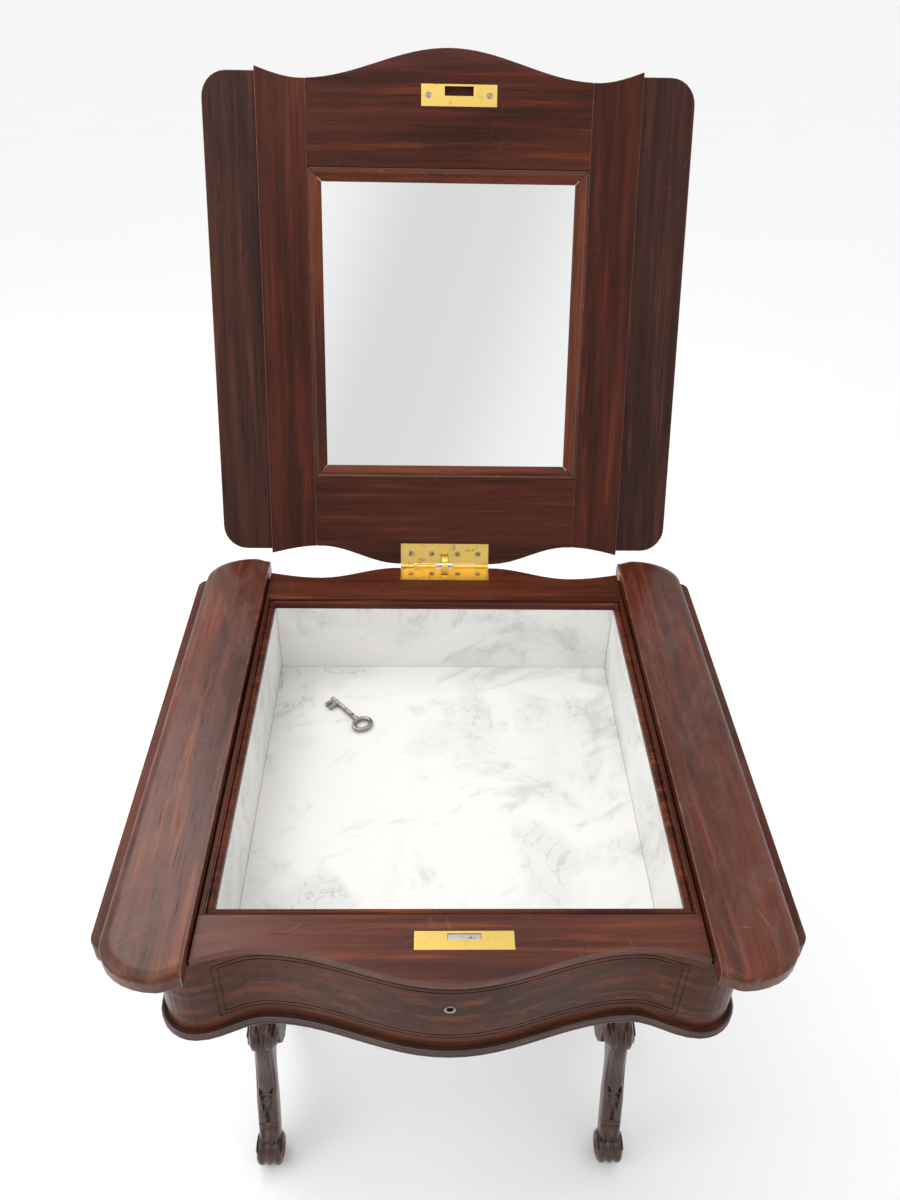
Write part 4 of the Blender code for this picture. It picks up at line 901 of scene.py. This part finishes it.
    def spiral(self, data: bmesh.types.BMesh, reach: float, height: float, radius: float,
               face: float) -> None:
        """A raised spiral with a round eye on a scroll's end.

        Args:
            data: The mesh that it is added to.
            reach: The scroll's middle, out from the joint.
            height: The scroll's middle, above the floor.
            radius: The scroll's radius.
            face: The end face's place across the leg.
        """
        sign = 1 if face > 0 else -1
        turns, steps, parts = 1.9, 64, 8
        rows = []
        for step in range(steps + 1):
            share = step / steps
            turn = 2 * math.pi * turns * share + 0.8
            ring = radius * (0.84 - 0.62 * share)
            thick = 0.0019 - 0.0007 * share
            row = []
            for part in range(parts):
                lean = 2 * math.pi * part / parts
                wide = ring + thick * math.cos(lean)
                out = face + sign * 0.0006 * math.sin(lean) * 1.8
                place = (reach + wide * math.cos(turn), max(0.0002, height + wide * math.sin(turn)))
                row.append(data.verts.new(self.at(out, *place)))
            rows.append(row)
        for first, second in zip(rows, rows[1:]):
            for part in range(parts):
                after = (part + 1) % parts
                data.faces.new((first[part], first[after], second[after], second[part]))
        for row in (rows[0], rows[-1]):
            data.faces.new(row)
        eye = bmesh.ops.create_uvsphere(data, u_segments=16, v_segments=8, radius=0.0042)
        squash = Matrix.Diagonal((0.55, 1, 1, 1))
        place = Matrix.Translation(self.at(face, reach, height)) @ squash
        bmesh.ops.transform(data, matrix=place, verts=eye["verts"])

    def build(self, finish: bpy.types.Material) -> None:
        """Build the leg in the finish given."""
        data = bmesh.new()
        self.limb(data)
        self.roll(data, self.knee_reach, self.knee_height, self.knee_radius, 0.0168, 2, 0.0065)
        self.roll(data, self.toe_reach, self.toe_radius, self.toe_radius, 0.0160, 3, 0.0020)
        bmesh.ops.recalc_face_normals(data, faces=data.faces)
        piece = link(self.node + "_carved", data, [finish])
        piece.data.shade_smooth()
        piece.data.set_sharp_from_angle(angle=math.radians(48))
        stand_in(piece, self.node, "table")


@dataclass
class Studio:
    """Floor, light and camera.

    Attributes:
        focal: The lens, in millimetres on a 36 mm tall film.
        rise: The camera's shift.
        pitch: How far it looks down, in radians.
        yaw: How far it is turned to the right, in radians.
        roll: How far it is tipped, in radians.
        stand: Its place, in well widths from the well's front edge at the rim.
        room_light: The strength of the light from all round.
        shade_lean: How far the shade in front of the mirror leans, in radians.
        shades: Places across the front of the room, from 0 to 1, and how light it is there.
    """

    focal: float = 30.195
    rise: float = 0.0184
    pitch: float = math.radians(38.12)
    yaw: float = 0.0304
    roll: float = 0.0243
    stand: tuple[float, float, float] = (-0.0567, -1.3067, 1.7931)
    room_light: float = 0.98
    shade_lean: float = -0.35
    shades: tuple = ((0.370, 1.0), (0.425, 0.78), (0.450, 0.80), (0.515, 1.0))

    def floor(self) -> None:
        """A plain pale floor that meets the light beyond the view."""
        data = bmesh.new()
        bmesh.ops.create_grid(data, x_segments=1, y_segments=1, size=14.0)
        graph = Graph("pale_floor")
        grain = graph.noise(graph.place(), 3.0, 2.0, 0.5)
        colour = graph.blend(grain, (0.93, 0.93, 0.93), (0.95, 0.95, 0.95))
        graph.shade(Base_Color=colour, Roughness=0.75)
        floor = link("studio_floor", data, [graph.material])
        floor.location.z = low("scroll_leg_front_left").z - 0.0004

    def world(self) -> None:
        """Soft white light from all round, with a slow shade on the side that the mirror faces."""
        world = bpy.data.worlds.new("soft_room")
        world.use_nodes = True
        bpy.context.scene.world = world
        nodes, links = world.node_tree.nodes, world.node_tree.links
        place = nodes.new("ShaderNodeTexCoord")
        lean = nodes.new("ShaderNodeMapping")
        lean.inputs["Rotation"].default_value = (0.0, self.shade_lean, 0.0)
        parts = nodes.new("ShaderNodeSeparateXYZ")
        shade = nodes.new("ShaderNodeValToRGB")
        front = nodes.new("ShaderNodeMapRange")
        mix = nodes.new("ShaderNodeMix")
        mix.data_type = "RGBA"
        front.inputs["From Min"].default_value, front.inputs["From Max"].default_value = -0.45, -0.80
        shade.color_ramp.interpolation = "EASE"
        Graph.set_stops(shade.color_ramp, [(share, (tone, tone, tone)) for share, tone in self.shades])
        mix.inputs[6].default_value = (1.0, 1.0, 1.0, 1.0)
        links.new(place.outputs["Generated"], lean.inputs["Vector"])
        links.new(lean.outputs["Vector"], parts.inputs["Vector"])
        shift = nodes.new("ShaderNodeMath")
        shift.operation = "MULTIPLY_ADD"
        shift.inputs[1].default_value, shift.inputs[2].default_value = 0.5, 0.5
        links.new(parts.outputs["X"], shift.inputs[0])
        links.new(shift.outputs["Value"], shade.inputs["Fac"])
        links.new(parts.outputs["Y"], front.inputs["Value"])
        links.new(front.outputs["Result"], mix.inputs[0])
        links.new(shade.outputs["Color"], mix.inputs[7])
        background = nodes["Background"]
        links.new(mix.outputs[2], background.inputs["Color"])
        background.inputs["Strength"].default_value = self.room_light
        bpy.context.scene.view_settings.view_transform = "Standard"

    def light(self, name: str, place: tuple, aim: tuple, size: tuple, power: float) -> None:
        """One large soft lamp.

        Args:
            name: The lamp's name.
            place: Where it hangs.
            aim: What it looks at.
            size: Its width and height.
            power: Its power in watts.
        """
        lamp = bpy.data.lights.new(name, "AREA")
        lamp.shape = "RECTANGLE"
        lamp.size, lamp.size_y = size
        lamp.energy = power
        holder = bpy.data.objects.new(name, lamp)
        holder.location = place
        holder.rotation_euler = (Vector(aim) - Vector(place)).to_track_quat("-Z", "Y").to_euler()
        bpy.context.scene.collection.objects.link(holder)

    def camera(self) -> None:
        """The camera, placed from the well."""
        aim = Vector((math.sin(self.yaw) * math.cos(self.pitch), math.cos(self.yaw) * math.cos(self.pitch),
                      -math.sin(self.pitch)))
        right = aim.cross(Vector((0, 0, 1))).normalized()
        up = right.cross(aim)
        cosine, sine = math.cos(self.roll), math.sin(self.roll)
        right, up = cosine * right + sine * up, cosine * up - sine * right
        lens = bpy.data.cameras.new("camera")
        lens.lens = self.focal
        lens.sensor_width = 36.0
        lens.shift_y = self.rise
        lens.dof.use_dof = False
        holder = bpy.data.objects.new("camera", lens)
        turn = Matrix((right, up, -aim)).transposed().to_4x4()
        across, back, rise = (part * WELL.width for part in self.stand)
        holder.matrix_world = Matrix.Translation(WELL.point(across, back, rise)) @ turn
        bpy.context.scene.collection.objects.link(holder)
        bpy.context.scene.camera = holder

    def build(self) -> None:
        """Set up the studio."""
        self.floor()
        self.world()
        self.light("overhead", (-0.6, -0.4, 2.6), (0, 0, 0.6), (2.4, 2.0), 16.0)
        self.light("left_window", (-2.2, -0.8, 1.7), (0, 0, 0.7), (1.4, 1.8), 12.0)
        self.light("rear_left_window", (-0.95, 1.00, 2.30), (-0.25, -0.30, 0.68), (0.8, 0.8), 9.0)
        self.camera()


def main() -> None:
    """Build every sub-assembly in order."""
    logging.basicConfig(level=logging.INFO, format="%(name)s: %(message)s")
    for part in (Casework(), RimFrame(), MirrorLid(), Fittings(), EndFrames(), Studio()):
        LOG.info("building %s", type(part).__name__)
        part.build()
    bpy.context.view_layer.update()


if __name__ == "__main__":
    main()
